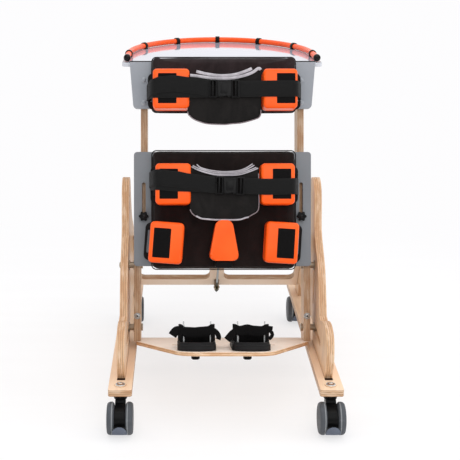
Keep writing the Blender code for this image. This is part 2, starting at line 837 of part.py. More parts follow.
def slide_bolt(name, bush):
    """A bolt from an upright's inner face through a side plate, about its own middle line."""
    washer_out = PLATE_OUT + GAP
    head_low = washer_out + WASHER_THICK
    plate_face = PLATE_IN - GAP
    upright_face = UPRIGHT_X + GAP
    nut_face = UPRIGHT_IN - GAP
    profile = [
        (0, head_low + SLIDE_HEAD),
        (SLIDE_HEAD_RADIUS * 0.6, head_low + SLIDE_HEAD * 0.85),
        (SLIDE_HEAD_RADIUS, head_low + SLIDE_HEAD * 0.4),
        (SLIDE_HEAD_RADIUS, head_low),
        (WASHER_RADIUS, head_low),
        (WASHER_RADIUS, washer_out),
        (bush, washer_out),
        (bush, plate_face),
        (WASHER_RADIUS, plate_face),
        (WASHER_RADIUS, plate_face - WASHER_THICK),
        (SPACER_RADIUS, plate_face - WASHER_THICK),
        (SPACER_RADIUS, upright_face + WASHER_THICK),
        (WASHER_RADIUS, upright_face + WASHER_THICK),
        (WASHER_RADIUS, upright_face),
        (PIN_RADIUS, upright_face),
        (PIN_RADIUS, nut_face),
        (SLIDE_NUT_RADIUS, nut_face),
        (SLIDE_NUT_RADIUS, nut_face - SLIDE_NUT),
        (0, nut_face - SLIDE_NUT),
    ]
    return turned(name, profile, 10, "X")


LOWER = empty("lower_slide", (0, LOWER_PIN_Y, LOWER_PIN_Z), parent=ROOT)
for name, side in SIDES:
    turn = (0, 0, math.pi if side < 0 else 0)
    place(slide_bolt("lower_slide_bolt_" + name, BUSH_RADIUS), ZINC, LOWER, rotation=turn)


# Tilting frame

FRAME = empty("tilting_frame", (0, LOWER_PIN_Y, LOWER_PIN_Z), (-TILT, 0, 0), ROOT)

for name, side in SIDES:
    half = UPRIGHT_DEPTH / 2
    edge = rounded([
        (-half, UPRIGHT_BOTTOM, 0),
        (half, UPRIGHT_BOTTOM, 0.012),
        (half, HIP_PANEL_TOP - 0.004, 0.028),
        (-half, HIP_PANEL_TOP - 0.004, 0.004),
    ])
    bore = PIN_RADIUS + GAP
    upright = plate(
        "upright_" + name,
        [edge, circle((0, 0), bore), circle((0, PIN_SPACING), bore)],
        UPRIGHT_THICK,
        "X",
    )
    front_bolt = moved(facing_user(dome_bolt("bolt", BOLT_RADIUS, 0.003, 0.0, "Y")), (0, -half, 0.030))
    upright = merged(upright, [front_bolt])
    place(upright, PLYWOOD, FRAME, (side * (UPRIGHT_X - UPRIGHT_THICK / 2), 0, 0))
    turn = (0, 0, math.pi if side < 0 else 0)
    upper = slide_bolt("upper_slide_bolt_" + name, PIN_RADIUS)
    place(upper, ZINC, FRAME, (0, 0, PIN_SPACING), turn)


def support_slot(spec):
    """Slot outlines, left and right, for a side support's stud to move outwards."""
    x, w = spec[0], spec[1]
    half_width = STUD_RADIUS + STUD_PLAY
    right = slot((x, w), (x + SUPPORT_TRAVEL, w), half_width, 6)
    return [right, mirrored(right)]


ABDUCTOR_SLOT = slot(
    (0, ABDUCTOR_STUD_W - ABDUCTOR_TRAVEL),
    (0, ABDUCTOR_STUD_W),
    STUD_RADIUS + STUD_PLAY,
    6,
)
MAST_SLOT = slot(
    (MAST_X, KNOB_W),
    (MAST_X, KNOB_W + KNOB_TRAVEL),
    STUD_RADIUS + STUD_PLAY,
    6,
)
hip_panel_edge = rectangle(
    (-UPRIGHT_X, HIP_PANEL_LOW),
    (UPRIGHT_X, HIP_PANEL_TOP),
    PANEL_CORNER,
)
hip_openings = support_slot(HIP_BLOCK) + support_slot(KNEE_BLOCK)
hip_openings += [ABDUCTOR_SLOT, MAST_SLOT, mirrored(MAST_SLOT)]
hip_panel = plate(
    "hip_panel",
    [hip_panel_edge] + hip_openings,
    PANEL_THICK,
    "Y",
    PANEL_FRONT + PANEL_THICK / 2,
)
place(hip_panel, GREY_BOARD, FRAME)


def cushion(name, width, height, thick, low, across=7, up=5):
    """A padded board cover: crowned face, sides drawn in between the corners, flat back."""
    shape = bmesh.new()
    bmesh.ops.create_grid(shape, x_segments=across, y_segments=up, size=1.0)
    faces = list(shape.faces)
    rim = [edge for edge in shape.edges if edge.is_boundary]
    raised = bmesh.ops.extrude_edge_only(shape, edges=rim)
    skirt = [item for item in raised["geom"] if isinstance(item, bmesh.types.BMVert)]
    for vert in skirt:
        vert.co.z = -1.0
    floor_edges = [edge for edge in shape.edges if edge.is_boundary]
    bmesh.ops.contextual_create(shape, geom=floor_edges)
    for vert in shape.verts:
        a, b, c = vert.co
        pull = 1.0 - 0.03 * (abs(a) * abs(b)) ** 6
        draw = PAD_DRAWN_IN * (1 - a * a if abs(b) > 0.99 else 0) / height * 2
        draw_side = PAD_DRAWN_IN * (1 - b * b if abs(a) > 0.99 else 0) / width * 2
        crown = (1 - abs(a) ** 4) * (1 - abs(b) ** 4)
        x = a * (pull - draw_side) * (width + PAD_FULLNESS) / 2
        z = b * (pull - draw) * (height + PAD_FULLNESS) / 2
        y = -thick * (0.70 + 0.30 * crown) if c > -0.5 else 0.0
        vert.co = (x, PAD_BACK + y, low + height / 2 + z)
    facing_out(shape)
    made = mesh_object(name, shape)
    soft = made.modifiers.new("soft", "SUBSURF")
    soft.levels = 1
    soft.render_levels = 1
    return made


def pad_with_slots(name, width, height, low, slots):
    """A cushion with a slot cut through for each support's stud."""
    pad = cushion(name, width, height, PAD_THICK, low)
    tools = []
    for index, outline in enumerate(slots):
        tools.append(plate("%s_slot_%d" % (name, index), [outline], 0.12, "Y", PAD_BACK - PAD_THICK / 2))
    return merged(pad, tools, "DIFFERENCE")


hip_pad_slots = support_slot(HIP_BLOCK) + support_slot(KNEE_BLOCK) + [ABDUCTOR_SLOT]
hip_pad = pad_with_slots("hip_pad", PAD_WIDTH, HIP_PAD_HEIGHT, HIP_PAD_LOW, hip_pad_slots)
place(hip_pad, DARK_FABRIC, FRAME)


# Footboard

FOOTBOARD_EDGE = rounded([
    (-FOOTBOARD_FRONT_HALF, -FOOTBOARD_FRONT, FOOTBOARD_CORNER),
    (FOOTBOARD_FRONT_HALF, -FOOTBOARD_FRONT, FOOTBOARD_CORNER),
    (FOOTBOARD_HALF, FOOTBOARD_SIDE_V, 0.004),
    (FOOTBOARD_HALF, FOOTBOARD_BACK, 0.010),
    (-FOOTBOARD_HALF, FOOTBOARD_BACK, 0.010),
    (-FOOTBOARD_HALF, FOOTBOARD_SIDE_V, 0.004),
])
foot_slot = slot(
    (FOOT_X - FOOT_SLOT_IN, FOOT_SLOT_V),
    (FOOT_X + FOOT_SLOT_OUT, FOOT_SLOT_V),
    FOOT_SLOT_HALF,
    6,
)
footboard = plate(
    "footboard",
    [FOOTBOARD_EDGE, foot_slot, mirrored(foot_slot)],
    FOOTBOARD_THICK,
    "Z",
    FOOTBOARD_TOP - FOOTBOARD_THICK / 2,
)
place(footboard, PLYWOOD, FRAME)


# Foot holders

def foot_holder(name):
    """Moulded sole with a heel rim, two posts and the stud through the footboard's slot."""
    half = FOOT_WIDTH / 2
    front = FOOT_HEEL_V + FOOT_LENGTH - FOOT_SLOT_V
    back = FOOT_HEEL_V - FOOT_SLOT_V
    sole_low = FOOTBOARD_TOP + GAP
    sole_top = sole_low + 0.005
    edge = rounded([
        (-half, back, 0.020),
        (half, back, 0.020),
        (half, front, 0.030),
        (-half, front, 0.030),
    ], 5)
    sole = plate(name, [edge], sole_top - sole_low, "Z", (sole_top + sole_low) / 2)
    rim_half = half - FOOT_RIM_STEP
    rim_back = back + FOOT_RIM_STEP
    rim_front = rim_back + FOOT_RIM_LENGTH
    thin_half = rim_half - FOOT_RIM_WALL
    rim_outer = rounded([
        (-rim_half, rim_front, 0),
        (-rim_half, rim_back, 0.020),
        (rim_half, rim_back, 0.020),
        (rim_half, rim_front, 0),
    ], 5)
    rim_inner = rounded([
        (thin_half, rim_front, 0),
        (thin_half, rim_back + FOOT_RIM_WALL, 0.016),
        (-thin_half, rim_back + FOOT_RIM_WALL, 0.016),
        (-thin_half, rim_front, 0),
    ], 5)
    rim_mid = sole_low + (FOOT_RIM + 0.002) / 2
    rim = plate(name + "_rim", [rim_outer + rim_inner], FOOT_RIM - 0.002, "Z", rim_mid)
    stud_low = FOOTBOARD_TOP - FOOTBOARD_THICK - 0.012
    stud = turned(name + "_stud", (
        (0, sole_top - 0.002), (0.003, sole_top - 0.002), (0.003, stud_low), (0, stud_low),
    ), 12)
    posts = []
    for side in (-1, 1):
        post = turned(name + "_post", (
            (0, sole_low + FOOT_POST_TOP),
            (FOOT_POST_RADIUS, sole_low + FOOT_POST_TOP - 0.002),
            (FOOT_POST_RADIUS, sole_low + 0.002),
            (0, sole_low + 0.002),
        ), 12)
        posts.append(moved(post, (side * FOOT_POST_X, FOOT_POST_V - FOOT_SLOT_V, 0)))
    return merged(sole, [rim, stud] + posts)


def foot_strap(name):
    """Ankle strap round the posts, open towards the toes, with a flared end each side."""
    reach = FOOT_POST_X + FOOT_POST_RADIUS + 0.002
    v = FOOT_POST_V - FOOT_SLOT_V
    back = v - FOOT_POST_RADIUS - GAP - FOOT_STRAP_THICK / 2
    path = smooth([
        (-reach - FOOT_STRAP_FLARE, v + 0.004),
        (-reach - FOOT_STRAP_FLARE / 2, v - 0.004),
        (-reach + 0.002, back),
        (-0.018, back - 0.001),
        (0.0, back),
        (0.018, back - 0.001),
        (reach - 0.002, back),
        (reach + FOOT_STRAP_FLARE / 2, v - 0.004),
        (reach + FOOT_STRAP_FLARE, v + 0.004),
    ], 2)
    low = FOOTBOARD_TOP + 0.029
    return ribbon(name, path, FOOT_STRAP_THICK, FOOT_STRAP_WIDTH, low + FOOT_STRAP_WIDTH / 2)


def ribbon(name, path, thick, width, middle):
    """A flat band that follows a path in (x, y), standing on edge."""
    left = []
    right = []
    for index, point in enumerate(path):
        before = Vector(path[max(index - 1, 0)])
        after = Vector(path[min(index + 1, len(path) - 1)])
        along = (after - before).normalized()
        off = Vector((-along.y, along.x)) * thick / 2
        left.append(tuple(Vector(point) + off))
        right.append(tuple(Vector(point) - off))
    return plate(name, [left + right[::-1]], width, "Z", middle)


def hand_wheel(name, radius, height, lobes, low, along="Z", edge=0.0012):
    """A lobed clamp knob."""
    outline = []
    steps = lobes * 4
    for step in range(steps):
        angle = 2 * math.pi * step / steps
        reach = radius * (0.89 + 0.11 * math.cos(lobes * angle))
        outline.append((reach * math.cos(angle), reach * math.sin(angle)))
    wheel = plate(name, [outline], height, "Z" if along == "Z" else "Y", low + height / 2)
    if edge:
        bevel(wheel, edge, 1)
        wheel = baked_in_scene(wheel)
    return wheel


def baked_in_scene(made):
    """Works a loose object's modifiers into its mesh."""
    bpy.context.scene.collection.objects.link(made)
    return baked_in_place(made)


for name, side in SIDES:
    foot = empty("foot_slide_" + name, (side * FOOT_X, FOOT_SLOT_V, 0), parent=FRAME)
    place(foot_holder("foot_holder_" + name), BLACK_PLASTIC, foot)
    place(foot_strap("foot_strap_" + name), WEBBING, foot)
    knob_top = FOOTBOARD_TOP - FOOTBOARD_THICK - GAP
    knob_low = knob_top - 0.026
    collar = turned("collar", (
        (0, knob_top), (0.006, knob_top), (0.006, knob_low + 0.010), (0, knob_low + 0.010),
    ), 12)
    wheel = hand_wheel("foot_knob_" + name, FOOT_KNOB_RADIUS, 0.012, 6, knob_low, edge=0.0)
    bore = turned("bore", (
        (0, knob_top + 0.01), (0.0035, knob_top + 0.01), (0.0035, knob_low + 0.011), (0, knob_low + 0.011),
    ), 12)
    knob = merged(merged(wheel, [collar]), [bore], "DIFFERENCE")
    place(knob, BLACK_PLASTIC, foot)


# Masts, chest board and tray slide together behind the hip panel

MAST = empty("mast_slide", (0, 0, 0), parent=FRAME)


def frame_spot(y, z):
    """A base point (y, z) in the tilting frame's own (v, w)."""
    dy = y - LOWER_PIN_Y
    dz = z - LOWER_PIN_Z
    return (dy * FRAME_COS - dz * FRAME_SIN, dy * FRAME_SIN + dz * FRAME_COS)


under = TRAY_UNDER_Z - GAP
half = UPRIGHT_DEPTH / 2
arm_tip = frame_spot(TRAY_FRONT_Y + MAST_TOP_DEPTH, under)
arm_tip_low = frame_spot(TRAY_FRONT_Y + MAST_TOP_DEPTH, under - MAST_ARM_DEPTH * 0.6)
arm_root_low = frame_spot(TRAY_FRONT_Y + 0.075, under - MAST_ARM_DEPTH * 1.3)
head_front = frame_spot(TRAY_FRONT_Y + 0.004, under)
front_w = head_front[1] + (head_front[0] + half) * math.tan(TILT) * -1
mast_edge = rounded([
    (-half, MAST_BOTTOM, 0.003),
    (half, MAST_BOTTOM, 0.016),
    (half, arm_root_low[1] - 0.045, 0.050),
    (*arm_tip_low, 0.012),
    (*arm_tip, 0.004),
    (-half, front_w, 0.0),
], 5)
for name, side in SIDES:
    bore = STUD_RADIUS + STUD_PLAY
    mast = plate("mast_" + name, [mast_edge], MAST_THICK, "X")
    place(mast, PLYWOOD, MAST, (side * MAST_X, 0, 0))
    drill = turned("knob_bore_" + name, (
        (0, 0.015), (bore, 0.015), (bore, -0.020), (0, -0.020),
    ), 10, "Y")
    drill.location = (side * MAST_X, UPRIGHT_FRONT, KNOB_W)
    apply_boolean(mast, [drill], "DIFFERENCE")

chest_edge = rounded([
    (-CHEST_HALF_BOTTOM, CHEST_LOW, CHEST_CORNER),
    (CHEST_HALF_BOTTOM, CHEST_LOW, CHEST_CORNER),
    (CHEST_HALF_TOP, CHEST_TOP, 0.002),
    (-CHEST_HALF_TOP, CHEST_TOP, 0.002),
])
chest_board = plate(
    "chest_board",
    [chest_edge] + support_slot(CHEST_BLOCK),
    PANEL_THICK,
    "Y",
    PANEL_FRONT + PANEL_THICK / 2,
)
chest_bolts = []
for side in (-1, 1):
    for height in CHEST_BOLT_W:
        bolt = facing_user(dome_bolt("bolt", BOLT_RADIUS, 0.003, 0.008, "Y"))
        chest_bolts.append(moved(bolt, (side * MAST_X, PANEL_FRONT, height)))
chest_board = merged(chest_board, chest_bolts)
place(chest_board, GREY_BOARD, MAST)
chest_pad = pad_with_slots(
    "chest_pad",
    PAD_WIDTH,
    CHEST_PAD_HEIGHT,
    CHEST_PAD_LOW,
    support_slot(CHEST_BLOCK),
)
place(chest_pad, DARK_FABRIC, MAST)

tray_front = frame_spot(TRAY_FRONT_Y + GAP, TRAY_TOP_Z)
TRAY = empty("tray_level", (0, *tray_front), (TILT, 0, 0), MAST)


def tray_edge(inset, front=0.0, corner=TRAY_CORNER):
    """The tray's outline about the middle of its front edge, drawn in by an inset."""
    half_width = TRAY_HALF_WIDTH - inset
    reach = TRAY_ARC - inset
    points = []
    steps = 28
    for step in range(steps + 1):
        angle = math.pi * step / steps
        points.append((half_width * math.cos(angle), TRAY_STRAIGHT + reach * math.sin(angle)))
    points += arc((-half_width + corner, front + corner), corner, 180, 270, 4)
    points += arc((half_width - corner, front + corner), corner, 270, 360, 4)
    return points


tray_board = plate("tray_board", [tray_edge(0.0)], TRAY_THICK, "Z", -TRAY_THICK / 2)
place(tray_board, GREY_BOARD, TRAY)
tray_top = plate(
    "tray_top",
    [tray_edge(TRAY_TOP_INSET, 0.002, 0.004)],
    TRAY_TOP_THICK,
    "Z",
    GAP + TRAY_TOP_THICK / 2,
)
place(tray_top, TRAY_SHEET, TRAY)


def rail_point(share):
    """A point of the rail's middle line, share 0 at the left end and 1 at the right end."""
    half_width = TRAY_HALF_WIDTH - RAIL_INSET
    reach = TRAY_ARC - RAIL_INSET
    straight = TRAY_STRAIGHT - RAIL_START
    bend = math.pi * math.sqrt((half_width ** 2 + reach ** 2) / 2)
    along = share * (2 * straight + bend)
    height = TRAY_TOP_THICK + GAP + RAIL_LIFT + RAIL_RADIUS
    if along < straight:
        return (-half_width, RAIL_START + along, height)
    if along > straight + bend:
        return (half_width, RAIL_START + 2 * straight + bend - along, height)
    angle = math.pi * (1 - (along - straight) / bend)
    return (half_width * math.cos(angle), TRAY_STRAIGHT + reach * math.sin(angle), height)


rail = tube("tray_rail", [rail_point(step / RAIL_STEPS) for step in range(RAIL_STEPS + 1)], RAIL_RADIUS, 2)
clips = []
for share in CLIP_SHARES:
    here = Vector(rail_point(share))
    ahead = Vector(rail_point(share + 0.005))
    foot_low = -(RAIL_LIFT + RAIL_RADIUS) + GAP
    saddle = arc((0, 0), RAIL_RADIUS + CLIP_WALL, -40, 220, 5)
    saddle += [
        (-CLIP_FOOT, foot_low + CLIP_WALL / 2),
        (-CLIP_FOOT, foot_low),
        (CLIP_FOOT, foot_low),
        (CLIP_FOOT, foot_low + CLIP_WALL / 2),
    ]
    clip = plate("clip", [saddle], CLIP_WIDTH, "Y")
    heading = math.atan2(ahead.y - here.y, ahead.x - here.x)
    clips.append(moved(turned_part(clip, heading + math.pi / 2, "Z"), here))
for share in (0.0, 1.0):
    cap = turned("cap", (
        (0, CAP_LENGTH / 2),
        (RAIL_RADIUS + CAP_WALL, CAP_LENGTH / 2),
        (RAIL_RADIUS + CAP_WALL, -CAP_LENGTH / 2),
        (RAIL_RADIUS * 0.7, -CAP_LENGTH * 0.85),
        (0, -CAP_LENGTH * 0.9),
    ), 10, "Y")
    clips.append(moved(cap, rail_point(share)))
place(merged(rail, clips), ORANGE_TUBE, TRAY)

for name, side in SIDES:
    knob_axis = empty("knob_axis_" + name, (side * MAST_X, PANEL_FRONT, KNOB_W), parent=MAST)
    wheel = hand_wheel("star_knob_" + name, KNOB_RADIUS, KNOB_HEIGHT, 6, -WASHER_THICK - GAP - KNOB_HEIGHT, "Y")
    shank = turned("shank", (
        (0, KNOB_REACH + PANEL_THICK),
        (STUD_RADIUS, KNOB_REACH + PANEL_THICK),
        (STUD_RADIUS, -GAP),
        (KNOB_COLLAR, -GAP),
        (KNOB_COLLAR, -WASHER_THICK - 0.004),
        (0, -WASHER_THICK - 0.004),
    ), 10, "Y")
    place(merged(wheel, [shank]), BLACK_PLASTIC, knob_axis)


# Side supports: each a foam block on a steel bracket with a belt loop, clamped from behind

def foam_block(name, width, height, depth):
    """A moulded foam block with soft corners, its back on y = 0."""
    shape = bmesh.new()
    bmesh.ops.create_cube(shape, size=1.0)
    bmesh.ops.scale(shape, vec=(width, depth, height), verts=shape.verts)
    bmesh.ops.translate(shape, vec=(0, -depth / 2, 0), verts=shape.verts)
    upright_edges = []
    for edge in shape.edges:
        first, second = edge.verts
        if abs(first.co.x - second.co.x) < 1e-6 and abs(first.co.z - second.co.z) < 1e-6:
            upright_edges.append(edge)
    bmesh.ops.bevel(
        shape, geom=upright_edges, offset=BLOCK_CORNER, segments=2, affect="EDGES", profile=0.5
    )
    made = mesh_object(name, shape)
    bevel(made, BLOCK_EDGE, 1)
    return baked_in_scene(made)


def support(name, spec, side):
    """A block, its bracket with the belt loop and its clamp, about the clamp's stud."""
    width, height, lean = spec[2], spec[3], spec[4]
    foam = moved(foam_block(name, width, height, BLOCK_DEPTH + HEAD_SINK), (0, BLOCK_BACK + HEAD_SINK, 0))
    inner = -width / 2 + 0.012
    outer = width / 2 + LOOP_REACH
    plate_half = height / 2 - 0.003
    edge = rounded([
        (inner, -plate_half, 0.006),
        (outer, -plate_half, 0.016),
        (outer, plate_half, 0.016),
        (inner, plate_half, 0.006),
    ], 4)
    loop = rectangle(
        (width / 2 + 0.001, -plate_half + 0.018),
        (outer - LOOP_BAR, plate_half - 0.018),
        0.003,
        3,
    )
    bracket_mid = PAD_FRONT - GAP - BRACKET_THICK / 2
    bracket = plate("bracket", [edge, loop], BRACKET_THICK, "Y", bracket_mid)
    near = bracket_mid
    far = PANEL_BACK + GAP + CLAMP_THICK
    clamp = turned("stud", (
        (0, far),
        (CLAMP_RADIUS, far),
        (CLAMP_RADIUS, PANEL_BACK + GAP),
        (STUD_RADIUS, PANEL_BACK + GAP),
        (STUD_RADIUS, near),
        (0, near),
    ), 10, "Y")
    both = merged(foam, [bracket, clamp])
    turned_part(both, side * lean, "Y")
    if side < 0:
        both.data.transform(Matrix.Scale(-1, 4, (1, 0, 0)))
        both.data.flip_normals()
    return both


supports = (
    ("chest_support", CHEST_BLOCK, MAST),
    ("hip_support", HIP_BLOCK, FRAME),
    ("knee_support", KNEE_BLOCK, FRAME),
)
SUPPORT_AXES = {}
for kind, spec, carrier in supports:
    for name, side in SIDES:
        label = kind + "_" + name
        stud_axis = empty(label + "_stud", (side * spec[0], 0, spec[1]), parent=carrier)
        SUPPORT_AXES[label] = stud_axis
        place(support(label, spec, side), ORANGE_FOAM, stud_axis)


def abductor(name):
    """The wedge between the knees on its holder, about the clamp's stud."""
    low = ABDUCTOR_LOW - ABDUCTOR_STUD_W
    top = ABDUCTOR_TOP - ABDUCTOR_STUD_W
    edge = rounded([
        (-ABDUCTOR_BASE_HALF, low, 0.010),
        (ABDUCTOR_BASE_HALF, low, 0.010),
        (ABDUCTOR_TOP_HALF + 0.004, top, 0.016),
        (-ABDUCTOR_TOP_HALF - 0.004, top, 0.016),
    ], 5)
    wedge_mid = BLOCK_BACK + HEAD_SINK - ABDUCTOR_DEPTH / 2
    wedge = plate(name, [edge], ABDUCTOR_DEPTH, "Y", wedge_mid)
    bevel(wedge, BLOCK_EDGE, 1)
    wedge = baked_in_scene(wedge)
    holder_edge = rectangle(
        (-HOLDER_WIDTH / 2, HOLDER_LOW - ABDUCTOR_STUD_W),
        (HOLDER_WIDTH / 2, top - 0.020),
        0.008,
    )
    holder_mid = PAD_FRONT - GAP - BRACKET_THICK / 2
    holder = plate("holder", [holder_edge], BRACKET_THICK, "Y", holder_mid)
    far = PANEL_BACK + GAP + 0.008
    stud = turned("stud", (
        (0, far),
        (CLAMP_RADIUS, far),
        (CLAMP_RADIUS, PANEL_BACK + GAP),
        (STUD_RADIUS, PANEL_BACK + GAP),
        (STUD_RADIUS, holder_mid),
        (0, holder_mid),
    ), 10, "Y")
    return merged(wedge, [holder, stud])


abductor_axis = empty("abductor_stud", (0, 0, ABDUCTOR_STUD_W), parent=FRAME)
place(abductor("abductor"), ORANGE_FOAM, abductor_axis)


# Belts: webbing from each support's loop to a buckle over a padded band

def belt_half(name, spec, side, height, slope, end_x):
    """Webbing from the outer bar of a support's loop, across its block, about the stud."""
    side_x = spec[2] / 2
    bar_x = side_x + LOOP_REACH + RUNNING + WEB_THICK / 2
    corner = (side_x - BLOCK_EDGE, BLOCK_FRONT + BLOCK_EDGE)
    wrap = arc(corner, BLOCK_EDGE + WEB_THICK / 2 + RUNNING, 342, 270, 5)
    path = [
        (bar_x, BLOCK_BACK + BRACKET_THICK - RUNNING),
        (bar_x, BLOCK_BACK),
    ]
    path += wrap[:-1]
    path += [(corner[0], WEB_FACE), (end_x, WEB_FACE)]
    band = ribbon(name, path, WEB_THICK, WEB_WIDTH, 0)
    for vert in band.data.vertices:
        vert.co.z += height + slope * (spec[0] + vert.co.x)
    if side < 0:
        band.data.transform(Matrix.Scale(-1, 4, (1, 0, 0)))
        band.data.flip_normals()
    return band


def buckle(name, centre_x, centre_w, slope):
    """Side-release buckle: a shell with finger notches, open at both ends for the webbing."""
    half = BUCKLE_LENGTH / 2
    tall = BUCKLE_HEIGHT / 2
    edge = rounded([
        (-half, -tall + 0.004, 0.002),
        (-half + 0.012, -tall, 0.004),
        (half - 0.006, -tall, 0.004),
        (half, -tall + 0.003, 0.002),
        (half, tall - 0.003, 0.002),
        (half - 0.006, tall, 0.004),
        (-half + 0.012, tall, 0.004),
        (-half, tall - 0.004, 0.002),
    ], 3)
    mid = WEB_FACE
    shell = plate(name, [edge], BUCKLE_THICK, "Y", mid)
    room = WEB_THICK / 2 + GAP
    reach = WEB_WIDTH / 2 + BUCKLE_PLAY
    channel = block("channel", (-half - 0.01, mid - room, -reach), (half + 0.01, mid + room, reach))
    cuts = [channel]
    for side in (-1, 1):
        notch = turned("notch", (
            (0, 0.02), (0.016, 0.02), (0.016, -0.02), (0, -0.02),
        ), 10, "Y")
        cuts.append(moved(notch, (-0.008, mid, side * (tall + 0.0125))))
    made = merged(shell, cuts, "DIFFERENCE")
    turned_part(made, -math.atan(slope), "Y")
    return moved(made, (centre_x, 0, centre_w))


def belt_pad(name, top, bottom):
    """A sagging padded band between two blocks, from top and bottom lines in (x, w)."""
    columns = 6
    rows = 3
    thick = BELT_PAD_THICK
    upper = resampled(smooth(top, 6), columns)
    lower = resampled(smooth(bottom, 6), columns)
    shape = bmesh.new()
    bmesh.ops.create_grid(shape, x_segments=columns, y_segments=rows, size=1.0)
    faces = list(shape.faces)
    doubled = bmesh.ops.extrude_face_region(shape, geom=faces)
    raised = set(item for item in doubled["geom"] if isinstance(item, bmesh.types.BMVert))
    for vert in shape.verts:
        column = round((vert.co.x + 1) / 2 * columns)
        row = (vert.co.y + 1) / 2
        x = lower[column][0] + (upper[column][0] - lower[column][0]) * row
        w = lower[column][1] + (upper[column][1] - lower[column][1]) * row
        across = 2 * column / columns - 1
        bulge = 0.35 + 0.65 * (1 - across ** 4) * (1 - (2 * row - 1) ** 4)
        depth = PAD_OF_BELT + (thick * bulge if vert in raised else 0.0)
        vert.co = (x, depth, w)
    facing_out(shape)
    made = mesh_object(name, shape)
    soft = made.modifiers.new("soft", "SUBSURF")
    soft.levels = 1
    soft.render_levels = 1
    return made


def resampled(line, count):
    """Evenly spread points along a line."""
    lengths = [0.0]
    for first, second in zip(line, line[1:]):
        lengths.append(lengths[-1] + (Vector(second) - Vector(first)).length)
    points = []
    index = 0
    for step in range(count + 1):
        goal = lengths[-1] * step / count
        while index < len(line) - 2 and lengths[index + 1] < goal:
            index += 1
        span = lengths[index + 1] - lengths[index]
        share = (goal - lengths[index]) / span
        points.append(tuple(Vector(line[index]).lerp(Vector(line[index + 1]), share)))
    return points


belts = (
    ("chest", CHEST_BLOCK, MAST, CHEST_WEB_RISE, 0.0, 0.0),
    ("hip", HIP_BLOCK, FRAME, HIP_WEB_RISE, HIP_WEB_SLOPE, HIP_BUCKLE_X),
)
for kind, spec, carrier, rise, slope, buckle_x in belts:
    for name, side in SIDES:
        label = kind + "_belt_" + name
        end_x = side * buckle_x + BELT_END_GAP - spec[0]
        half_belt = belt_half(label, spec, side, rise, side * slope, end_x)
        place(half_belt, WEBBING, SUPPORT_AXES[kind + "_support_" + name])
    centre_w = spec[1] + rise + slope * buckle_x
    place(buckle(kind + "_buckle", buckle_x, centre_w, slope), BLACK_PLASTIC, carrier)

chest_reach = CHEST_BLOCK[0] - CHEST_BLOCK[2] / 2 - SOFT_GAP
hip_reach = HIP_BLOCK[0] - HIP_BLOCK[2] / 2 - SOFT_GAP
chest_top = ((-chest_reach, 0.610), (-0.035, 0.603), (0.0, 0.600), (0.040, 0.606), (chest_reach, 0.620))
chest_low = ((-chest_reach, 0.510), (-0.060, 0.496), (0.0, 0.488), (0.045, 0.492), (chest_reach, 0.503))
hip_top = ((-hip_reach, 0.396), (-0.035, 0.383), (0.0, 0.377), (0.040, 0.383), (hip_reach, 0.394))
hip_low = ((-hip_reach, 0.283), (-0.055, 0.268), (0.0, 0.2655), (0.045, 0.268), (hip_reach, 0.284))
place(belt_pad("chest_belt_pad", chest_top, chest_low), DARK_FABRIC, MAST)
place(belt_pad("hip_belt_pad", hip_top, hip_low), DARK_FABRIC, FRAME)


# Gas strut between the cross board's post and the hip panel

STRUT_FOOT = (0, STRUT_FOOT_Y, STRUT_FOOT_Z)
foot_offset = lean.inverted() @ Vector((0, STRUT_FOOT_Y - CROSS_BOARD_Y, STRUT_FOOT_Z - CROSS_BOARD_Z))
cheek_in = STRUT_EYE_THICK / 2 + GAP
cheek_out = cheek_in + FORK_CHEEK
fork_base = block(
    "strut_fork",
    (-cheek_out - HEAD_SINK, -GAP - FORK_CHEEK, GAP),
    (cheek_out + HEAD_SINK, -GAP, CROSS_RAIL - GAP),
)
fork_parts = []
for side in (-1, 1):
    cheek_edge = [(-GAP - 0.001, CROSS_RAIL / 2), (-GAP - 0.001, CROSS_RAIL - 0.002)]
    cheek_edge += arc((foot_offset.y, foot_offset.z), STRUT_EYE_RADIUS - 0.004, 70, 280, 6)
    cheek = plate("cheek", [cheek_edge], FORK_CHEEK, "X", side * (cheek_in + FORK_CHEEK / 2))
    fork_parts.append(cheek)
fork_pin = turned("pin", (
    (0, cheek_out + 0.002),
    (STRUT_PIN_RADIUS, cheek_out + 0.002),
    (STRUT_PIN_RADIUS, -cheek_out - 0.002),
    (0, -cheek_out - 0.002),
), 10, "X")
fork_parts.append(moved(fork_pin, (0, foot_offset.y, foot_offset.z)))
place(merged(fork_base, fork_parts), BLACK_STEEL, board)

top_y = LOWER_PIN_Y + STRUT_TOP_V * FRAME_COS + STRUT_TOP_W * FRAME_SIN
top_z = LOWER_PIN_Z - STRUT_TOP_V * FRAME_SIN + STRUT_TOP_W * FRAME_COS
reach_y = top_y - STRUT_FOOT_Y
reach_z = top_z - STRUT_FOOT_Z
STRUT_LENGTH = math.hypot(reach_y, reach_z)
strut_turn = math.atan2(reach_z, reach_y) - math.radians(90)
STRUT = empty("strut_foot_pivot", STRUT_FOOT, (strut_turn, 0, 0), ROOT)


def eye(name, bore, height):
    """The flat eye at a strut's end, with its bore, at a height along the strut."""
    return plate(
        name,
        [circle((0, height), bore + EYE_WALL, 16), circle((0, height), bore, 16)],
        STRUT_EYE_THICK,
        "X",
    )


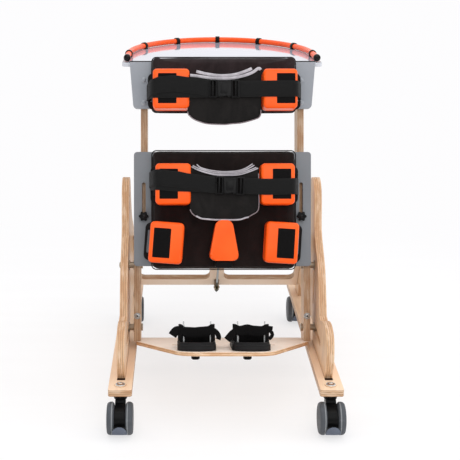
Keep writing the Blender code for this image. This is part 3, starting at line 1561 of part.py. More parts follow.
rod_top = STRUT_LENGTH - STRUT_TOP_BORE - EYE_WALL - STRUT_CYLINDER_LENGTH + STRUT_ROD_IN
rod_eye = eye("strut_rod", STRUT_PIN_RADIUS + GAP, 0.0)
rod_start = STRUT_PIN_RADIUS + GAP + EYE_WALL / 2
rod_bar = turned("bar", (
    (0, rod_top),
    (STRUT_ROD_RADIUS, rod_top),
    (STRUT_ROD_RADIUS, rod_start),
    (0, rod_start),
), 12)
cone_top = -(STRUT_EYE_RADIUS - 0.004) - GAP
cone = turned("cone", (
    (0, -rod_start),
    (0.0028, -rod_start),
    (0.0028, cone_top),
    (STRUT_CONE_RADIUS, cone_top - 0.001),
    (STRUT_CONE_RADIUS, cone_top - 0.005),
    (0.0028, cone_top - STRUT_CONE_LENGTH + 0.004),
    (0.0022, cone_top - STRUT_CONE_LENGTH),
    (0, cone_top - STRUT_CONE_LENGTH - 0.001),
), 12)
place(merged(rod_eye, [rod_bar, cone]), STEEL, STRUT)

bore_radius = STRUT_ROD_RADIUS + GAP
cylinder_top = STRUT_LENGTH - STRUT_TOP_BORE - EYE_WALL / 2
cylinder_low = cylinder_top - EYE_WALL / 2 - STRUT_CYLINDER_LENGTH
bore_top = cylinder_low + STRUT_BORE_DEPTH
barrel = turned("barrel", (
    (0, cylinder_top),
    (0.005, cylinder_top),
    (0.005, cylinder_top - 0.008),
    (STRUT_CYLINDER_RADIUS - 0.002, cylinder_top - 0.008),
    (STRUT_CYLINDER_RADIUS, cylinder_top - 0.010),
    (STRUT_CYLINDER_RADIUS, cylinder_low + 0.003),
    (STRUT_CYLINDER_RADIUS - 0.003, cylinder_low),
    (bore_radius, cylinder_low),
    (bore_radius, bore_top),
    (0, bore_top),
), 12)
place(merged(eye("strut_cylinder", STRUT_TOP_BORE, STRUT_LENGTH), [barrel]), BLACK_STEEL, STRUT)

ear_edge = [(PANEL_BACK + GAP + 0.001, STRUT_TOP_W - 0.018), (PANEL_BACK + GAP + 0.001, STRUT_TOP_W + 0.018)]
ear_edge += arc((STRUT_TOP_V, STRUT_TOP_W), 0.008, 80, -80, 6)
ear_in = STRUT_EYE_THICK / 2 + GAP
bracket = block(
    "strut_bracket",
    (-BRACKET_HALF, PANEL_BACK + GAP, STRUT_TOP_W - 0.022),
    (BRACKET_HALF, PANEL_BACK + GAP + FORK_CHEEK, STRUT_TOP_W + 0.022),
)
ears = []
for side in (-1, 1):
    ears.append(plate("ear", [ear_edge], FORK_CHEEK, "X", side * (ear_in + FORK_CHEEK / 2)))
top_pin = turned("pin", (
    (0, ear_in + FORK_CHEEK + 0.002),
    (STRUT_PIN_RADIUS, ear_in + FORK_CHEEK + 0.002),
    (STRUT_PIN_RADIUS, -ear_in - FORK_CHEEK - 0.002),
    (0, -ear_in - FORK_CHEEK - 0.002),
), 10, "X")
ears.append(moved(top_pin, (0, STRUT_TOP_V, STRUT_TOP_W)))
place(merged(bracket, ears), BLACK_STEEL, FRAME)
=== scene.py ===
"""Looks of the standing frame: materials for the solid parts, and detailed pieces for the pads,
belts, supports, foot holders, tray rail, castors and knobs, in one frame with the model.

World axes: +Z up, the user stands on the -Y side. Pieces of the tilting frame are drawn in the
frame's own axes (x across, v away from the user, w up along the uprights). Tables of points given
to mm(), lathe() and drawn_line() are in millimetres; all else is in metres.
"""

import math

import bmesh
import bpy
from mathutils import Matrix, Vector, noise


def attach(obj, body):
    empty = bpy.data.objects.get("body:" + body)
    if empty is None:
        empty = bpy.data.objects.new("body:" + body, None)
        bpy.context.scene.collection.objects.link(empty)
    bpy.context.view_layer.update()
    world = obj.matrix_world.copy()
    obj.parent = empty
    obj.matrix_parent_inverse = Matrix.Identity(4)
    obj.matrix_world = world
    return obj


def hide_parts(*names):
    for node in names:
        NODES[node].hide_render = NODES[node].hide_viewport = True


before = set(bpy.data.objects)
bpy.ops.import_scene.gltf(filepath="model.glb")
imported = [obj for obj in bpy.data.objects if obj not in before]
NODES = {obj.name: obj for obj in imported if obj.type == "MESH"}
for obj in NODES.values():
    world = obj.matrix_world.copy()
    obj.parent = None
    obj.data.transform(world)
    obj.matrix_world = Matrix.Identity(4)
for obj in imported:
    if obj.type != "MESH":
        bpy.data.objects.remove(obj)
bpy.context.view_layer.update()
SCENE = bpy.context.scene

# Directions, and places that the model fixes
ACROSS_X = Vector((1, 0, 0))
ALONG_Y = Vector((0, 1, 0))
UP = Vector((0, 0, 1))
MIDDLE_Y = 0.39532
TILT = math.radians(16.5)
FRAME = Matrix.Translation((0, 0.233 - MIDDLE_Y, 0.154)) @ Matrix.Rotation(-TILT, 4, "X")
FRAME_V = Vector((0, math.cos(TILT), -math.sin(TILT)))
FRAME_W = Vector((0, math.sin(TILT), math.cos(TILT)))
BOARD_LEAN = math.radians(30)
BOARD_FACE = Vector((0, math.cos(BOARD_LEAN), math.sin(BOARD_LEAN)))
QUARTER = math.radians(90)
FACING_USER = Matrix.Rotation(QUARTER, 4, "X")
RUNNER_X = 0.240
RUNNER_TOP = 0.106
PLATE_FOOT_Y = 0.032 - MIDDLE_Y
WHEELBASE = 0.692
CASTOR_TRAIL = 0.030
WHEEL_RADIUS = 0.0375
PANEL_FRONT = -0.0423
PANEL_BACK = -0.0303
PAD_BACK = -0.0426
PAD_FRONT = -0.0806
PAD_WIDTH = 0.352
PAD_MIDDLE_X = 0.0020
BLOCK_BACK = -0.0849
BLOCK_FRONT = -0.1389
WEB_FACE = -0.1402
BELT_PAD_FRONT = -0.1344
MAST_X = 0.1925
CHEST_BOLTS_W = (0.553, 0.609)
UPRIGHT_X = 0.209
UPRIGHT_FRONT = -0.0301
STRUT_FOOT = (0.0, 0.588 - MIDDLE_Y, 0.132)
KNOB_W = 0.275
TRAY_Y = 0.39014 - MIDDLE_Y
TRAY_Z = 0.78911
FOOT_X = 0.062
FOOTBOARD_TOP = -0.032
SKIN = 0.0003
PLY_PITCH = 0.0048
WELD_GAP = 0.00002
FILL_FRAMES = 20
SIDES = (("left", -1), ("right", 1))

# Middle x and w, width and height of each kind of foam block
BLOCKS = {
    "chest": (0.129, 0.5755, 0.084, 0.094),
    "hip": (0.1236, 0.3505, 0.084, 0.097),
    "knee": (0.1365, 0.2115, 0.084, 0.101 * 0.965),
}
# How the photographed blocks differ: moved across, narrower or wider, and leaning
BLOCK_SHIFT = {"chest": 0.0040, "hip": 0.0035, "knee": 0.0}
BLOCK_FIT = {
    "chest_left": 1.03, "chest_right": 0.96, "hip_left": 1.0, "hip_right": 0.95,
    "knee_left": 0.95, "knee_right": 0.92,
}
BLOCK_LEAN = {"knee_left": 4.2, "knee_right": 3.4}
PATCH_X = {
    "chest_left": -0.0090, "chest_right": 0.0130, "hip_left": -0.0105, "hip_right": 0.0090,
    "knee_left": -0.0105, "knee_right": 0.0092,
}
LOOP_REACH = 0.0131


# Node materials

def shade(tone, factor):
    """A colour made lighter or darker."""
    return tuple(part * factor for part in tone)


class Nodes:
    """A node tree with short ways to add to it."""

    def __init__(self, tree):
        self.tree = tree

    def node(self, kind, inputs=None, **settings):
        """A node with its settings, values and links."""
        added = self.tree.nodes.new(kind)
        for key, value in settings.items():
            setattr(added, key, value)
        for key, value in (inputs or {}).items():
            if isinstance(value, bpy.types.NodeSocket):
                self.tree.links.new(value, added.inputs[key])
            else:
                added.inputs[key].default_value = value
        return added

    def sum(self, operation, first, second=0.0, third=None):
        """One step of arithmetic."""
        inputs = {0: first, 1: second}
        if third is not None:
            inputs[2] = third
        return self.node("ShaderNodeMath", inputs, operation=operation).outputs[0]

    def times(self, first, second):
        """A product."""
        return self.sum("MULTIPLY", first, second)

    def plus(self, first, second):
        """A total."""
        return self.sum("ADD", first, second)


class Finish(Nodes):
    """A node material in the making, with its shader's fixed values set on the shader itself."""

    def __init__(self, name, roughness, **fixed):
        self.made = bpy.data.materials.new(name)
        self.made.use_nodes = True
        super().__init__(self.made.node_tree)
        self.shader = self.tree.nodes["Principled BSDF"]
        for socket, value in {"Roughness": roughness, **fixed}.items():
            self.shader.inputs[socket.replace("_", " ")].default_value = value
        places = self.node("ShaderNodeTexCoord").outputs
        self.place = places["Object"]
        self.facing = places["Normal"]
        self.laid_out = places["UV"]

    def along(self, direction, of=None):
        """How far a place lies along a direction."""
        inputs = {0: of or self.place, 1: tuple(direction)}
        return self.node("ShaderNodeVectorMath", inputs, operation="DOT_PRODUCT").outputs["Value"]

    def facing_along(self, direction):
        """1 where the surface faces along a direction either way, 0 where it lies along it."""
        return self.sum("ABSOLUTE", self.along(direction, self.facing))

    def stretched(self, *scales):
        """Places scaled along each axis."""
        inputs = {0: self.place, 1: scales}
        return self.node("ShaderNodeVectorMath", inputs, operation="MULTIPLY").outputs[0]

    def grain(self, vector, scale, detail=3.0, roughness=0.5, distortion=0.0):
        """Noise from 0 to 1."""
        return self.node("ShaderNodeTexNoise", {
            "Vector": vector, "Scale": scale, "Detail": detail, "Roughness": roughness,
            "Distortion": distortion,
        }).outputs[0]

    def wave(self, value, pitch):
        """Ripples from -1 to 1."""
        return self.sum("SINE", self.times(value, 2 * math.pi / pitch))

    def ramp(self, value, tone, *stops):
        """Colours by value, from (position, colour) stops, all made lighter or darker by a tone."""
        added = self.node("ShaderNodeValToRGB", {0: value})
        elements = added.color_ramp.elements
        while len(elements) < len(stops):
            elements.new(0.5)
        for element, (position, colour) in zip(elements, stops):
            element.position = position
            element.color = (*shade(colour, tone), 1.0)
        return added.outputs[0]

    def span(self, value, low, high, out_low, out_high):
        """A value taken from one range to another, smoothly."""
        inputs = {0: value, 1: low, 2: high, 3: out_low, 4: out_high}
        return self.node("ShaderNodeMapRange", inputs, interpolation_type="SMOOTHSTEP").outputs[0]

    def mix(self, share, first, second):
        """Two colours mixed."""
        inputs = {0: share}
        for socket, colour in ((6, first), (7, second)):
            inputs[socket] = (*colour, 1.0) if isinstance(colour, tuple) else colour
        return self.node("ShaderNodeMix", inputs, data_type="RGBA").outputs[2]

    def fade(self, value, low, high, first, second, most=1.0, least=0.0):
        """One colour that turns to another as a value goes from low to high."""
        return self.mix(self.span(value, low, high, least, most), first, second)

    def finished(self, colour, rough=None, *reliefs):
        """The material, from its colour, its roughness (value, lowest, highest) and its reliefs
        (height, strength, depth), the finer over the coarser."""
        self.tree.links.new(colour, self.shader.inputs["Base Color"])
        if rough:
            value, low, high = rough
            varied = self.span(value, 0.3, 0.7, low, high)
            self.tree.links.new(varied, self.shader.inputs["Roughness"])
        under = {}
        for height, strength, depth in reliefs:
            inputs = {"Height": height, "Strength": strength, "Distance": depth, **under}
            under = {"Normal": self.node("ShaderNodeBump", inputs).outputs[0]}
        if under:
            self.tree.links.new(under["Normal"], self.shader.inputs["Normal"])
        return self.made


def plywood(name, across, grain_way, face_tone, edge_tone, pale=0.0, slit=()):
    """Lacquered birch ply: long grain on the faces, plies on the edges, painted shade in a slit,
    and a pale share that lifts the faces, painted light on the footboard and the cross board.
    """
    ply = Finish(name, 0.45, Coat_Weight=0.06, Coat_Roughness=0.35, Specular_IOR_Level=0.30)
    ways = [ply.along(way) for way in (grain_way, across.cross(grain_way), across)]
    depth = ways[2]

    def drawn_out(scales, *settings):
        """Noise with its own scale along the grain, across it and through the board."""
        parts = {index: ply.times(*pair) for index, pair in enumerate(zip(ways, scales))}
        return ply.grain(ply.node("ShaderNodeCombineXYZ", parts).outputs[0], 1.0, *settings)

    figure = drawn_out((5, 46, 30), 5.0, 0.55, 0.9)
    face = ply.ramp(
        figure, face_tone, (0.25, (0.61, 0.370, 0.205)), (0.46, (0.735, 0.475, 0.275)),
        (0.62, (0.800, 0.555, 0.345)), (0.85, (0.860, 0.640, 0.430)),
    )
    pores = drawn_out((55, 900, 300), 3.0, 0.6)
    face = ply.fade(pores, 0.56, 0.74, face, (0.42, 0.24, 0.12), 0.42)
    cloud = ply.grain(ply.place, 7.0, 2.0)
    # A pale share above 0 lifts the whole face towards a pale colour: painted light from above on
    # the footboard and the cross board.
    face = ply.fade(cloud, 0.35, 0.7, face, (0.96, 0.80, 0.66), pale + 0.20, pale)
    phase = ply.sum("MULTIPLY_ADD", depth, 1 / PLY_PITCH, 0.13)
    phase = ply.plus(phase, ply.times(ply.grain(ply.place, 35.0, 2.0), 0.16))
    layer = ply.ramp(
        ply.sum("FRACT", phase), edge_tone, (0.0, (0.26, 0.115, 0.045)),
        (0.18, (0.34, 0.165, 0.070)), (0.26, (0.74, 0.460, 0.265)), (0.52, (0.84, 0.550, 0.330)),
        (0.58, (0.56, 0.310, 0.155)), (0.68, (0.60, 0.345, 0.180)), (0.74, (0.86, 0.575, 0.365)),
        (0.95, (0.92, 0.640, 0.420)),
    )
    streak = drawn_out((38, 38, 620), 4.0, 0.6)
    layer = ply.fade(streak, 0.42, 0.75, layer, (0.34, 0.20, 0.11), 0.40)
    patches = drawn_out((22, 22, 120), 2.0, 0.5)
    layer = ply.fade(patches, 0.50, 0.60, layer, shade((0.50, 0.235, 0.095), edge_tone), 0.42)
    layer = ply.fade(patches, 0.36, 0.46, layer, shade((0.96, 0.76, 0.57), edge_tone), 0.0, 0.38)
    shown = ply.fade(ply.facing_along(across), 0.55, 0.8, layer, face)
    inside = 1.0
    # Painted shade: a dark box where the slot round a plate's foot lies in shadow.
    for way, centre, half in slit:
        spot = ply.along(way)
        if way == ACROSS_X:
            spot = ply.sum("ABSOLUTE", spot)
        off = ply.sum("ABSOLUTE", ply.sum("SUBTRACT", spot, centre))
        inside = ply.times(inside, ply.span(off, half, half + 0.0006, 1.0, 0.0))
    if slit:
        shown = ply.mix(inside, shown, (0.030, 0.010, 0.005))
    height = ply.plus(ply.times(pores, 0.6), ply.times(streak, 0.4))
    return ply.finished(shown, (figure, 0.38, 0.54), (height, 0.22, 0.0004))


def laminate(name, tone, edge_tone, across):
    """Satin grey laminate with a fine speckle, a paler cut edge and faint handling marks."""
    board = Finish(name, 0.42, Specular_IOR_Level=0.45, Coat_Weight=0.08, Coat_Roughness=0.35)
    speckle = board.grain(board.place, 900.0, 2.0, 0.6)
    cloud = board.grain(board.place, 9.0)
    face = board.fade(speckle, 0.35, 0.7, tone, shade(tone, 1.22), 0.35)
    face = board.fade(cloud, 0.4, 0.7, face, shade(tone, 0.82), 0.16)
    cut = board.fade(speckle, 0.3, 0.7, edge_tone, shade(edge_tone, 0.8), 0.5)
    shown = board.fade(board.facing_along(across), 0.55, 0.8, cut, face)
    return board.finished(shown, (cloud, 0.36, 0.50), (speckle, 0.12, 0.0003))


def woven(name, tone, pale, pitch, sheen):
    """A brushed woven cover: crossing threads, nap that lies both ways and dusty high spots."""
    cloth = Finish(name, 0.86, Sheen_Weight=sheen, Sheen_Roughness=0.45, Specular_IOR_Level=0.12)
    wave_x = cloth.wave(cloth.along(ACROSS_X), pitch)
    wave_z = cloth.wave(cloth.along((0, 0.3, 1)), pitch)
    weave = cloth.sum("MULTIPLY_ADD", cloth.times(wave_x, wave_z), 0.5, 0.5)
    nap = cloth.grain(cloth.stretched(26, 26, 15), 1.0, 4.0, 0.6, 0.8)
    fluff = cloth.grain(cloth.place, 420.0, 3.0, 0.7)
    mixed = cloth.fade(nap, 0.35, 0.68, tone, pale)
    mixed = cloth.fade(fluff, 0.5, 0.8, mixed, shade(pale, 1.9), 0.35)
    return cloth.finished(mixed, (nap, 0.80, 0.95), (fluff, 0.25, 0.0006), (weave, 0.35, 0.0004))


def strap_weave(name, tone, pale):
    """Polyester webbing: herringbone ribs along it and firmer selvedges, laid out by its UVs."""
    web = Finish(name, 0.66, Sheen_Weight=0.02, Sheen_Roughness=0.5, Specular_IOR_Level=0.12)
    width = web.along(ALONG_Y, web.laid_out)
    slant = web.times(web.sum("PINGPONG", width, 0.0035), 0.9)
    ribs = web.wave(web.plus(web.along(ACROSS_X, web.laid_out), slant), 0.0015)
    weave = web.sum("MULTIPLY_ADD", web.times(ribs, 0.65), 0.5, 0.5)
    weave = web.plus(weave, web.times(web.wave(width, 0.0013), 0.14))
    fluff = web.grain(web.place, 500.0)
    mixed = web.fade(weave, 0.2, 0.9, tone, pale)
    edge = web.sum("ABSOLUTE", width)
    mixed = web.fade(edge, 0.0172, 0.0186, mixed, shade(pale, 1.3), 0.5)
    mixed = web.fade(fluff, 0.55, 0.8, mixed, (0.04, 0.04, 0.04), 0.15)
    return web.finished(mixed, (fluff, 0.55, 0.75), (weave, 0.45, 0.0004))


def hook_pile(name):
    """Hook-and-loop patch: a short dull pile in rows, with painted shade low between the tufts."""
    pile = Finish(name, 0.95, Sheen_Weight=0.02, Sheen_Roughness=0.6, Specular_IOR_Level=0.06)
    rows = pile.wave(pile.along(ACROSS_X), 0.0016)
    height = pile.plus(pile.grain(pile.place, 900.0, 2.0, 0.7), pile.times(rows, 0.18))
    # The low pile is painted darker as shade between the tufts.
    hollow_shade, tip = (0.0030, 0.0028, 0.0028), (0.0095, 0.0085, 0.0088)
    tufts = pile.ramp(height, 1.0, (0.3, hollow_shade), (0.75, tip))
    return pile.finished(tufts, None, (height, 0.7, 0.0008))


def foam_skin(name, tone, bright, hollow_shade):
    """Moulded foam with a skin: pebbled, satin, with painted shade in the pebble's hollows, paler
    where handled.
    """
    skin = Finish(name, 0.36, Specular_IOR_Level=0.26)
    cells = skin.node("ShaderNodeTexVoronoi", {"Vector": skin.place, "Scale": 700.0})
    pebble = cells.outputs["Distance"]
    cloud = skin.grain(skin.place, 14.0)
    mixed = skin.fade(cloud, 0.35, 0.7, tone, bright)
    # Painted shade: a darker orange in the hollows of the pebble.
    mixed = skin.fade(pebble, 0.45, 0.9, mixed, hollow_shade, 0.22)
    dents = skin.grain(skin.place, 45.0, 2.0)
    return skin.finished(mixed, (cloud, 0.28, 0.42), (dents, 0.16, 0.0016), (pebble, 0.16, 0.0003))


def plastic(name, tone, roughness, texture=600.0, strength=0.15, variation=0.35, **fixed):
    """Moulded plastic with a fine spark-eroded texture and slight colour variation."""
    made = Finish(name, roughness, **fixed)
    tooth = made.grain(made.place, texture, 2.0, 0.6)
    cloud = made.grain(made.place, 22.0)
    lighter = tuple(min(part * (1 + 2 * variation) + 0.004 * variation, 1.0) for part in tone)
    mixed = made.fade(cloud, 0.35, 0.7, tone, shade(tone, 1 + variation))
    mixed = made.fade(tooth, 0.55, 0.8, mixed, lighter, 0.5)
    rough = (cloud, roughness * 0.85, roughness * 1.15)
    return made.finished(mixed, rough, (tooth, strength, 0.0003))


def metal(name, tone, roughness):
    """Plated metal with fine marks and faint tarnish."""
    made = Finish(name, roughness, Metallic=1.0)
    lines = made.grain(made.place, 900.0)
    mixed = made.fade(made.grain(made.place, 70.0), 0.4, 0.75, tone, shade(tone, 0.88))
    rough = (lines, roughness * 0.75, roughness * 1.35)
    return made.finished(mixed, rough, (lines, 0.08, 0.0002))


def rod_steel(name, foot):
    """Polished rod that ends in a dark olive cone about its foot."""
    made = Finish(name, 0.30, Metallic=0.9)
    lines = made.grain(made.stretched(900, 900, 60), 1.0)
    away = made.node("ShaderNodeVectorMath", {0: made.place, 1: foot}, operation="DISTANCE")
    steel = made.fade(lines, 0.3, 0.7, (0.26, 0.28, 0.28), (0.36, 0.38, 0.38))
    olive = made.fade(lines, 0.3, 0.7, (0.020, 0.020, 0.008), (0.045, 0.042, 0.016))
    mixed = made.fade(away.outputs["Value"], 0.036, 0.038, steel, olive, 0.0, 1.0)
    return made.finished(mixed, (lines, 0.26, 0.40), (lines, 0.08, 0.0002))


def tyre_rubber(name, tone):
    """Grey tread rubber with fine turning marks and floor dust on the tread."""
    made = Finish(name, 0.55, Specular_IOR_Level=0.35)
    tooth = made.grain(made.place, 800.0, 3.0, 0.6)
    dust = made.grain(made.stretched(60, 25, 25), 1.0, 4.0, 0.65)
    mixed = made.fade(dust, 0.45, 0.75, tone, tuple(part * 1.5 + 0.02 for part in tone), 0.6)
    mixed = made.fade(tooth, 0.55, 0.8, mixed, shade(tone, 0.6), 0.3)
    return made.finished(mixed, (dust, 0.45, 0.70), (tooth, 0.2, 0.0003))


def gloss_sheet(name, tone, pale):
    """Pale glossy sheet with a faint cool mottling and fine wiping marks."""
    made = Finish(name, 0.055, Specular_IOR_Level=0.5, Coat_Weight=0.35, Coat_Roughness=0.03)
    wiped = made.grain(made.stretched(90, 700, 90), 1.0)
    mixed = made.fade(made.grain(made.place, 6.0), 0.35, 0.7, tone, pale)
    return made.finished(mixed, (wiped, 0.035, 0.075))


# Heights of the slots in the runners, filled with painted shade on the runners and the side plates.
SLIT_HEIGHT = (UP, RUNNER_TOP - 0.012, 0.0112)
PLY_PLATE = plywood("birch_side_plate", ACROSS_X, UP, 1.04, 0.86, 0.0, (SLIT_HEIGHT,))
PLY_UPRIGHT = plywood("birch_upright", ACROSS_X, FRAME_W, 0.88, 0.60)
PLY_RUNNER = plywood("birch_runner", UP, ALONG_Y, 1.10, 0.78, 0.30, (
    (ALONG_Y, PLATE_FOOT_Y, 0.0059), (ACROSS_X, RUNNER_X, 0.0092), SLIT_HEIGHT,
))
# Footboard and cross board: high face tones and a large pale share, painted light from above.
PLY_FOOTBOARD = plywood("birch_footboard", FRAME_W, ACROSS_X, 1.14, 0.96, 0.95)
PLY_CROSS = plywood("birch_cross_board", BOARD_FACE, ACROSS_X, 1.16, 0.74, 0.92)
GREY_CHEST = laminate("grey_laminate_chest", (0.280, 0.298, 0.330), (0.36, 0.37, 0.39), FRAME_V)
GREY_HIP = laminate("grey_laminate_hip", (0.188, 0.200, 0.218), (0.26, 0.27, 0.28), FRAME_V)
GREY_TRAY = laminate("grey_laminate_tray", (0.42, 0.43, 0.455), (0.60, 0.61, 0.66), UP)
TRAY_GLOSS = gloss_sheet("tray_gloss_sheet", (0.520, 0.525, 0.620), (0.560, 0.565, 0.660))
VELOUR = woven("dark_velour", (0.0095, 0.0062, 0.0058), (0.0165, 0.0112, 0.0105), 0.0011, 0.06)
# A lighter copy of the velour for the chest pad: painted light from above.
VELOUR_PAINTED_LIGHTER = woven(
    "dark_velour_painted_lighter", (0.0175, 0.0115, 0.0120), (0.0290, 0.0200, 0.0210), 0.0011, 0.10,
)
BELT_CLOTH = woven(
    "dark_belt_cloth", (0.0085, 0.0076, 0.0073), (0.0150, 0.0133, 0.0128), 0.0009, 0.04,
)
BINDING = woven("pale_binding", (0.35, 0.325, 0.35), (0.50, 0.47, 0.50), 0.0010, 0.25)
PIPING = woven("mauve_piping", (0.19, 0.145, 0.155), (0.28, 0.235, 0.245), 0.0008, 0.15)
WEBBING = strap_weave("black_webbing", (0.0042, 0.0042, 0.0044), (0.0125, 0.0122, 0.0120))
HOOK_PILE = hook_pile("hook_and_loop")
STRAP_PILE = hook_pile("strap_pile")
FOAM = foam_skin(
    "orange_foam_skin", (0.93, 0.096, 0.003), (0.96, 0.118, 0.008), (0.66, 0.052, 0.003),
)
TUBE_ORANGE = plastic(
    "orange_tube_gloss", (0.92, 0.088, 0.004), 0.30, 300.0, 0.03, 0.10, Specular_IOR_Level=0.30,
    Coat_Weight=0.06, Coat_Roughness=0.15,
)
BLACK = plastic("black_plastic_satin", (0.0040, 0.0040, 0.0043), 0.40, Specular_IOR_Level=0.13)
BLACK_GLOSS = plastic(
    "black_plastic_gloss", (0.0040, 0.0040, 0.0044), 0.26, 400.0, 0.05, Specular_IOR_Level=0.22,
)
BLACK_COAT = plastic(
    "black_powder_coat", (0.0042, 0.0042, 0.0045), 0.48, 1100.0, 0.35, Specular_IOR_Level=0.13,
)
BUCKLE_BLACK = plastic(
    "buckle_black", (0.0036, 0.0034, 0.0036), 0.30, 500.0, 0.06, Specular_IOR_Level=0.18,
)
BLACK_RUBBER = plastic(
    "black_rubber", (0.0075, 0.0070, 0.0076), 0.52, 900.0, 0.30, Specular_IOR_Level=0.20,
)
# A dark stand-in for shade: painted shade in bolt sockets and in the gap at the tray sheet's edge.
PAINTED_SHADE = plastic("painted_shade_dark", (0.015, 0.014, 0.014), 0.6)
BROWN_CORE = plastic("brown_bolt_core", (0.20, 0.105, 0.055), 0.5)
PEDAL = plastic("blue_grey_pedal", (0.105, 0.120, 0.155), 0.60, Specular_IOR_Level=0.15)
HUB = plastic("dark_hub", (0.045, 0.050, 0.060), 0.40)
TYRE = tyre_rubber("grey_tread", (0.066, 0.072, 0.082))
# A pale tone for a bead ring on the tread's rim: a painted highlight.
TREAD_HIGHLIGHT = tyre_rubber("pale_tread_line", (0.22, 0.23, 0.24))
ZINC = metal("zinc_plate", (0.52, 0.53, 0.53), 0.30)
ZINC_BROWN = metal("passivated_zinc", (0.40, 0.33, 0.25), 0.40)
ROD_STEEL = rod_steel("strut_rod_steel", STRUT_FOOT)


# Shapes

def mm(*points):
    """Points given in millimetres."""
    return [tuple(part / 1000 for part in point) for point in points]


def around(items):
    """Each item of a list with the next, and the last with the first."""
    return zip(items, items[1:] + items[:1])


def neighbours(line, closed=False):
    """Each point of a line with the ones before and after it."""
    before = line[-1:] if closed else line[:1]
    after = line[:1] if closed else line[-1:]
    return zip(line, before + line[:-1], line[1:] + after)


def link(made):
    """Puts an object in the scene."""
    SCENE.collection.objects.link(made)
    return made


def from_shape(name, shape, material, place_at, angle=40):
    """An object from a bmesh, at a place, smooth below an angle or flat where none is given."""
    bmesh.ops.recalc_face_normals(shape, faces=shape.faces)
    if shape.calc_volume(signed=True) < 0:
        bmesh.ops.reverse_faces(shape, faces=shape.faces)
    data = bpy.data.meshes.new(name)
    shape.to_mesh(data)
    shape.free()
    data.materials.append(material)
    made = link(bpy.data.objects.new(name, data))
    made.matrix_world = place_at
    if angle:
        data.shade_smooth()
        data.set_sharp_from_angle(angle=math.radians(angle))
    return made


def bridged(shape, rings, closed=False, ends=True):
    """Walls from each ring of points to the next, and a face over each end of an open run."""
    for first, second in (around(rings) if closed else zip(rings, rings[1:])):
        size = max(len(first), len(second))
        first, second = (ring * size if len(ring) == 1 else ring for ring in (first, second))
        for (a, b), (c, d) in zip(around(first), around(second)):
            shape.faces.new(tuple(dict.fromkeys((a, b, d, c))))
    for ring in (rings[0], rings[-1]):
        if ends and not closed and len(ring) > 1:
            shape.faces.new(ring)


def closed_sheets(shape, near, far):
    """Faces over two grids of points and round their rims."""
    rows = range(len(near) - 1)
    columns = range(len(near[0]) - 1)
    for grid in (near, far):
        for i in rows:
            for j in columns:
                face = (grid[i][j], grid[i + 1][j], grid[i + 1][j + 1], grid[i][j + 1])
                shape.faces.new(face if grid is near else face[::-1])
    for i in rows:
        for j in (0, -1):
            shape.faces.new((near[i][j], near[i + 1][j], far[i + 1][j], far[i][j]))
    for j in columns:
        for i in (0, -1):
            shape.faces.new((near[i][j], near[i][j + 1], far[i][j + 1], far[i][j]))


def arc(centre, radius, start, end, steps):
    """Points along an arc, angles in degrees."""
    angles = [math.radians(start + (end - start) * step / steps) for step in range(steps + 1)]
    x, y = centre
    return [(x + radius * math.cos(angle), y + radius * math.sin(angle)) for angle in angles]


def rounded(corners, steps=6):
    """An outline from (x, y, radius) corners, each rounded by its radius."""
    points = []
    for (x, y, radius), before, after in neighbours(corners, True):
        here = Vector((x, y))
        before = (Vector(before[:2]) - here).normalized()
        after = (Vector(after[:2]) - here).normalized()
        half = before.angle(after) / 2
        reach = radius / math.tan(half)
        middle = here + (before + after).normalized() * (radius / math.sin(half))
        first = here + before * reach - middle
        last = here + after * reach - middle
        sweep = first.angle_signed(last)
        for step in range(steps + 1):
            turn = -sweep * step / steps
            points.append((
                middle.x + first.x * math.cos(turn) - first.y * math.sin(turn),
                middle.y + first.x * math.sin(turn) + first.y * math.cos(turn),
            ))
    return points


def rectangle(half_x, half_y, radius, steps=6, centre=(0.0, 0.0)):
    """A rectangle with rounded corners about a centre."""
    return rounded([
        (centre[0] + x * half_x, centre[1] + y * half_y, radius)
        for x, y in ((-1, -1), (1, -1), (1, 1), (-1, 1))
    ], steps)


def curved(points, steps=6):
    """A smooth line through points of any dimension."""
    points = [Vector(point) for point in points]
    ends = points[:1] + points + points[-1:]
    line = []
    for before, first, second, after in zip(ends, ends[1:], ends[2:], ends[3:]):
        for t in (step / steps for step in range(steps)):
            line.append((
                2 * first
                + (second - before) * t
                + (2 * before - 5 * first + 4 * second - after) * t * t
                + (3 * first - before - 3 * second + after) * t ** 3
            ) / 2)
    return line + points[-1:]


def drawn_line(*points):
    """A smooth function of x through (x, value) points, level beyond the ends."""
    points = mm(*points)

    def value(x):
        if x <= points[0][0]:
            return points[0][1]
        for first, second in zip(points, points[1:]):
            if x <= second[0]:
                share = (x - first[0]) / (second[0] - first[0])
                share = share * share * (3 - 2 * share)
                return first[1] + (second[1] - first[1]) * share
        return points[-1][1]
    return value


def slab(name, material, place_at, outline, back, front, edge, segments=3, hole=None):
    """A board from an (x, w) outline between two depths v, with rounded edges and one opening."""
    shape = bmesh.new()
    rings = []
    for loop in [outline] + ([hole] if hole else []):
        pair = [[shape.verts.new((x, v, w)) for x, w in loop] for v in (front, back)]
        bridged(shape, pair, ends=not hole)
        rings.append(pair)
    for level in (0, 1) if hole else ():
        edges = [shape.edges.get(ends) for pair in rings for ends in around(pair[level])]
        bmesh.ops.triangle_fill(shape, edges=edges, use_beauty=True)
    rim = [shape.edges.get(ends) for pair in rings for ring in pair for ends in around(ring)]
    bmesh.ops.bevel(
        shape, geom=rim, offset=edge, segments=segments, affect="EDGES", profile=0.5,
    )
    return from_shape(name, shape, material, place_at)


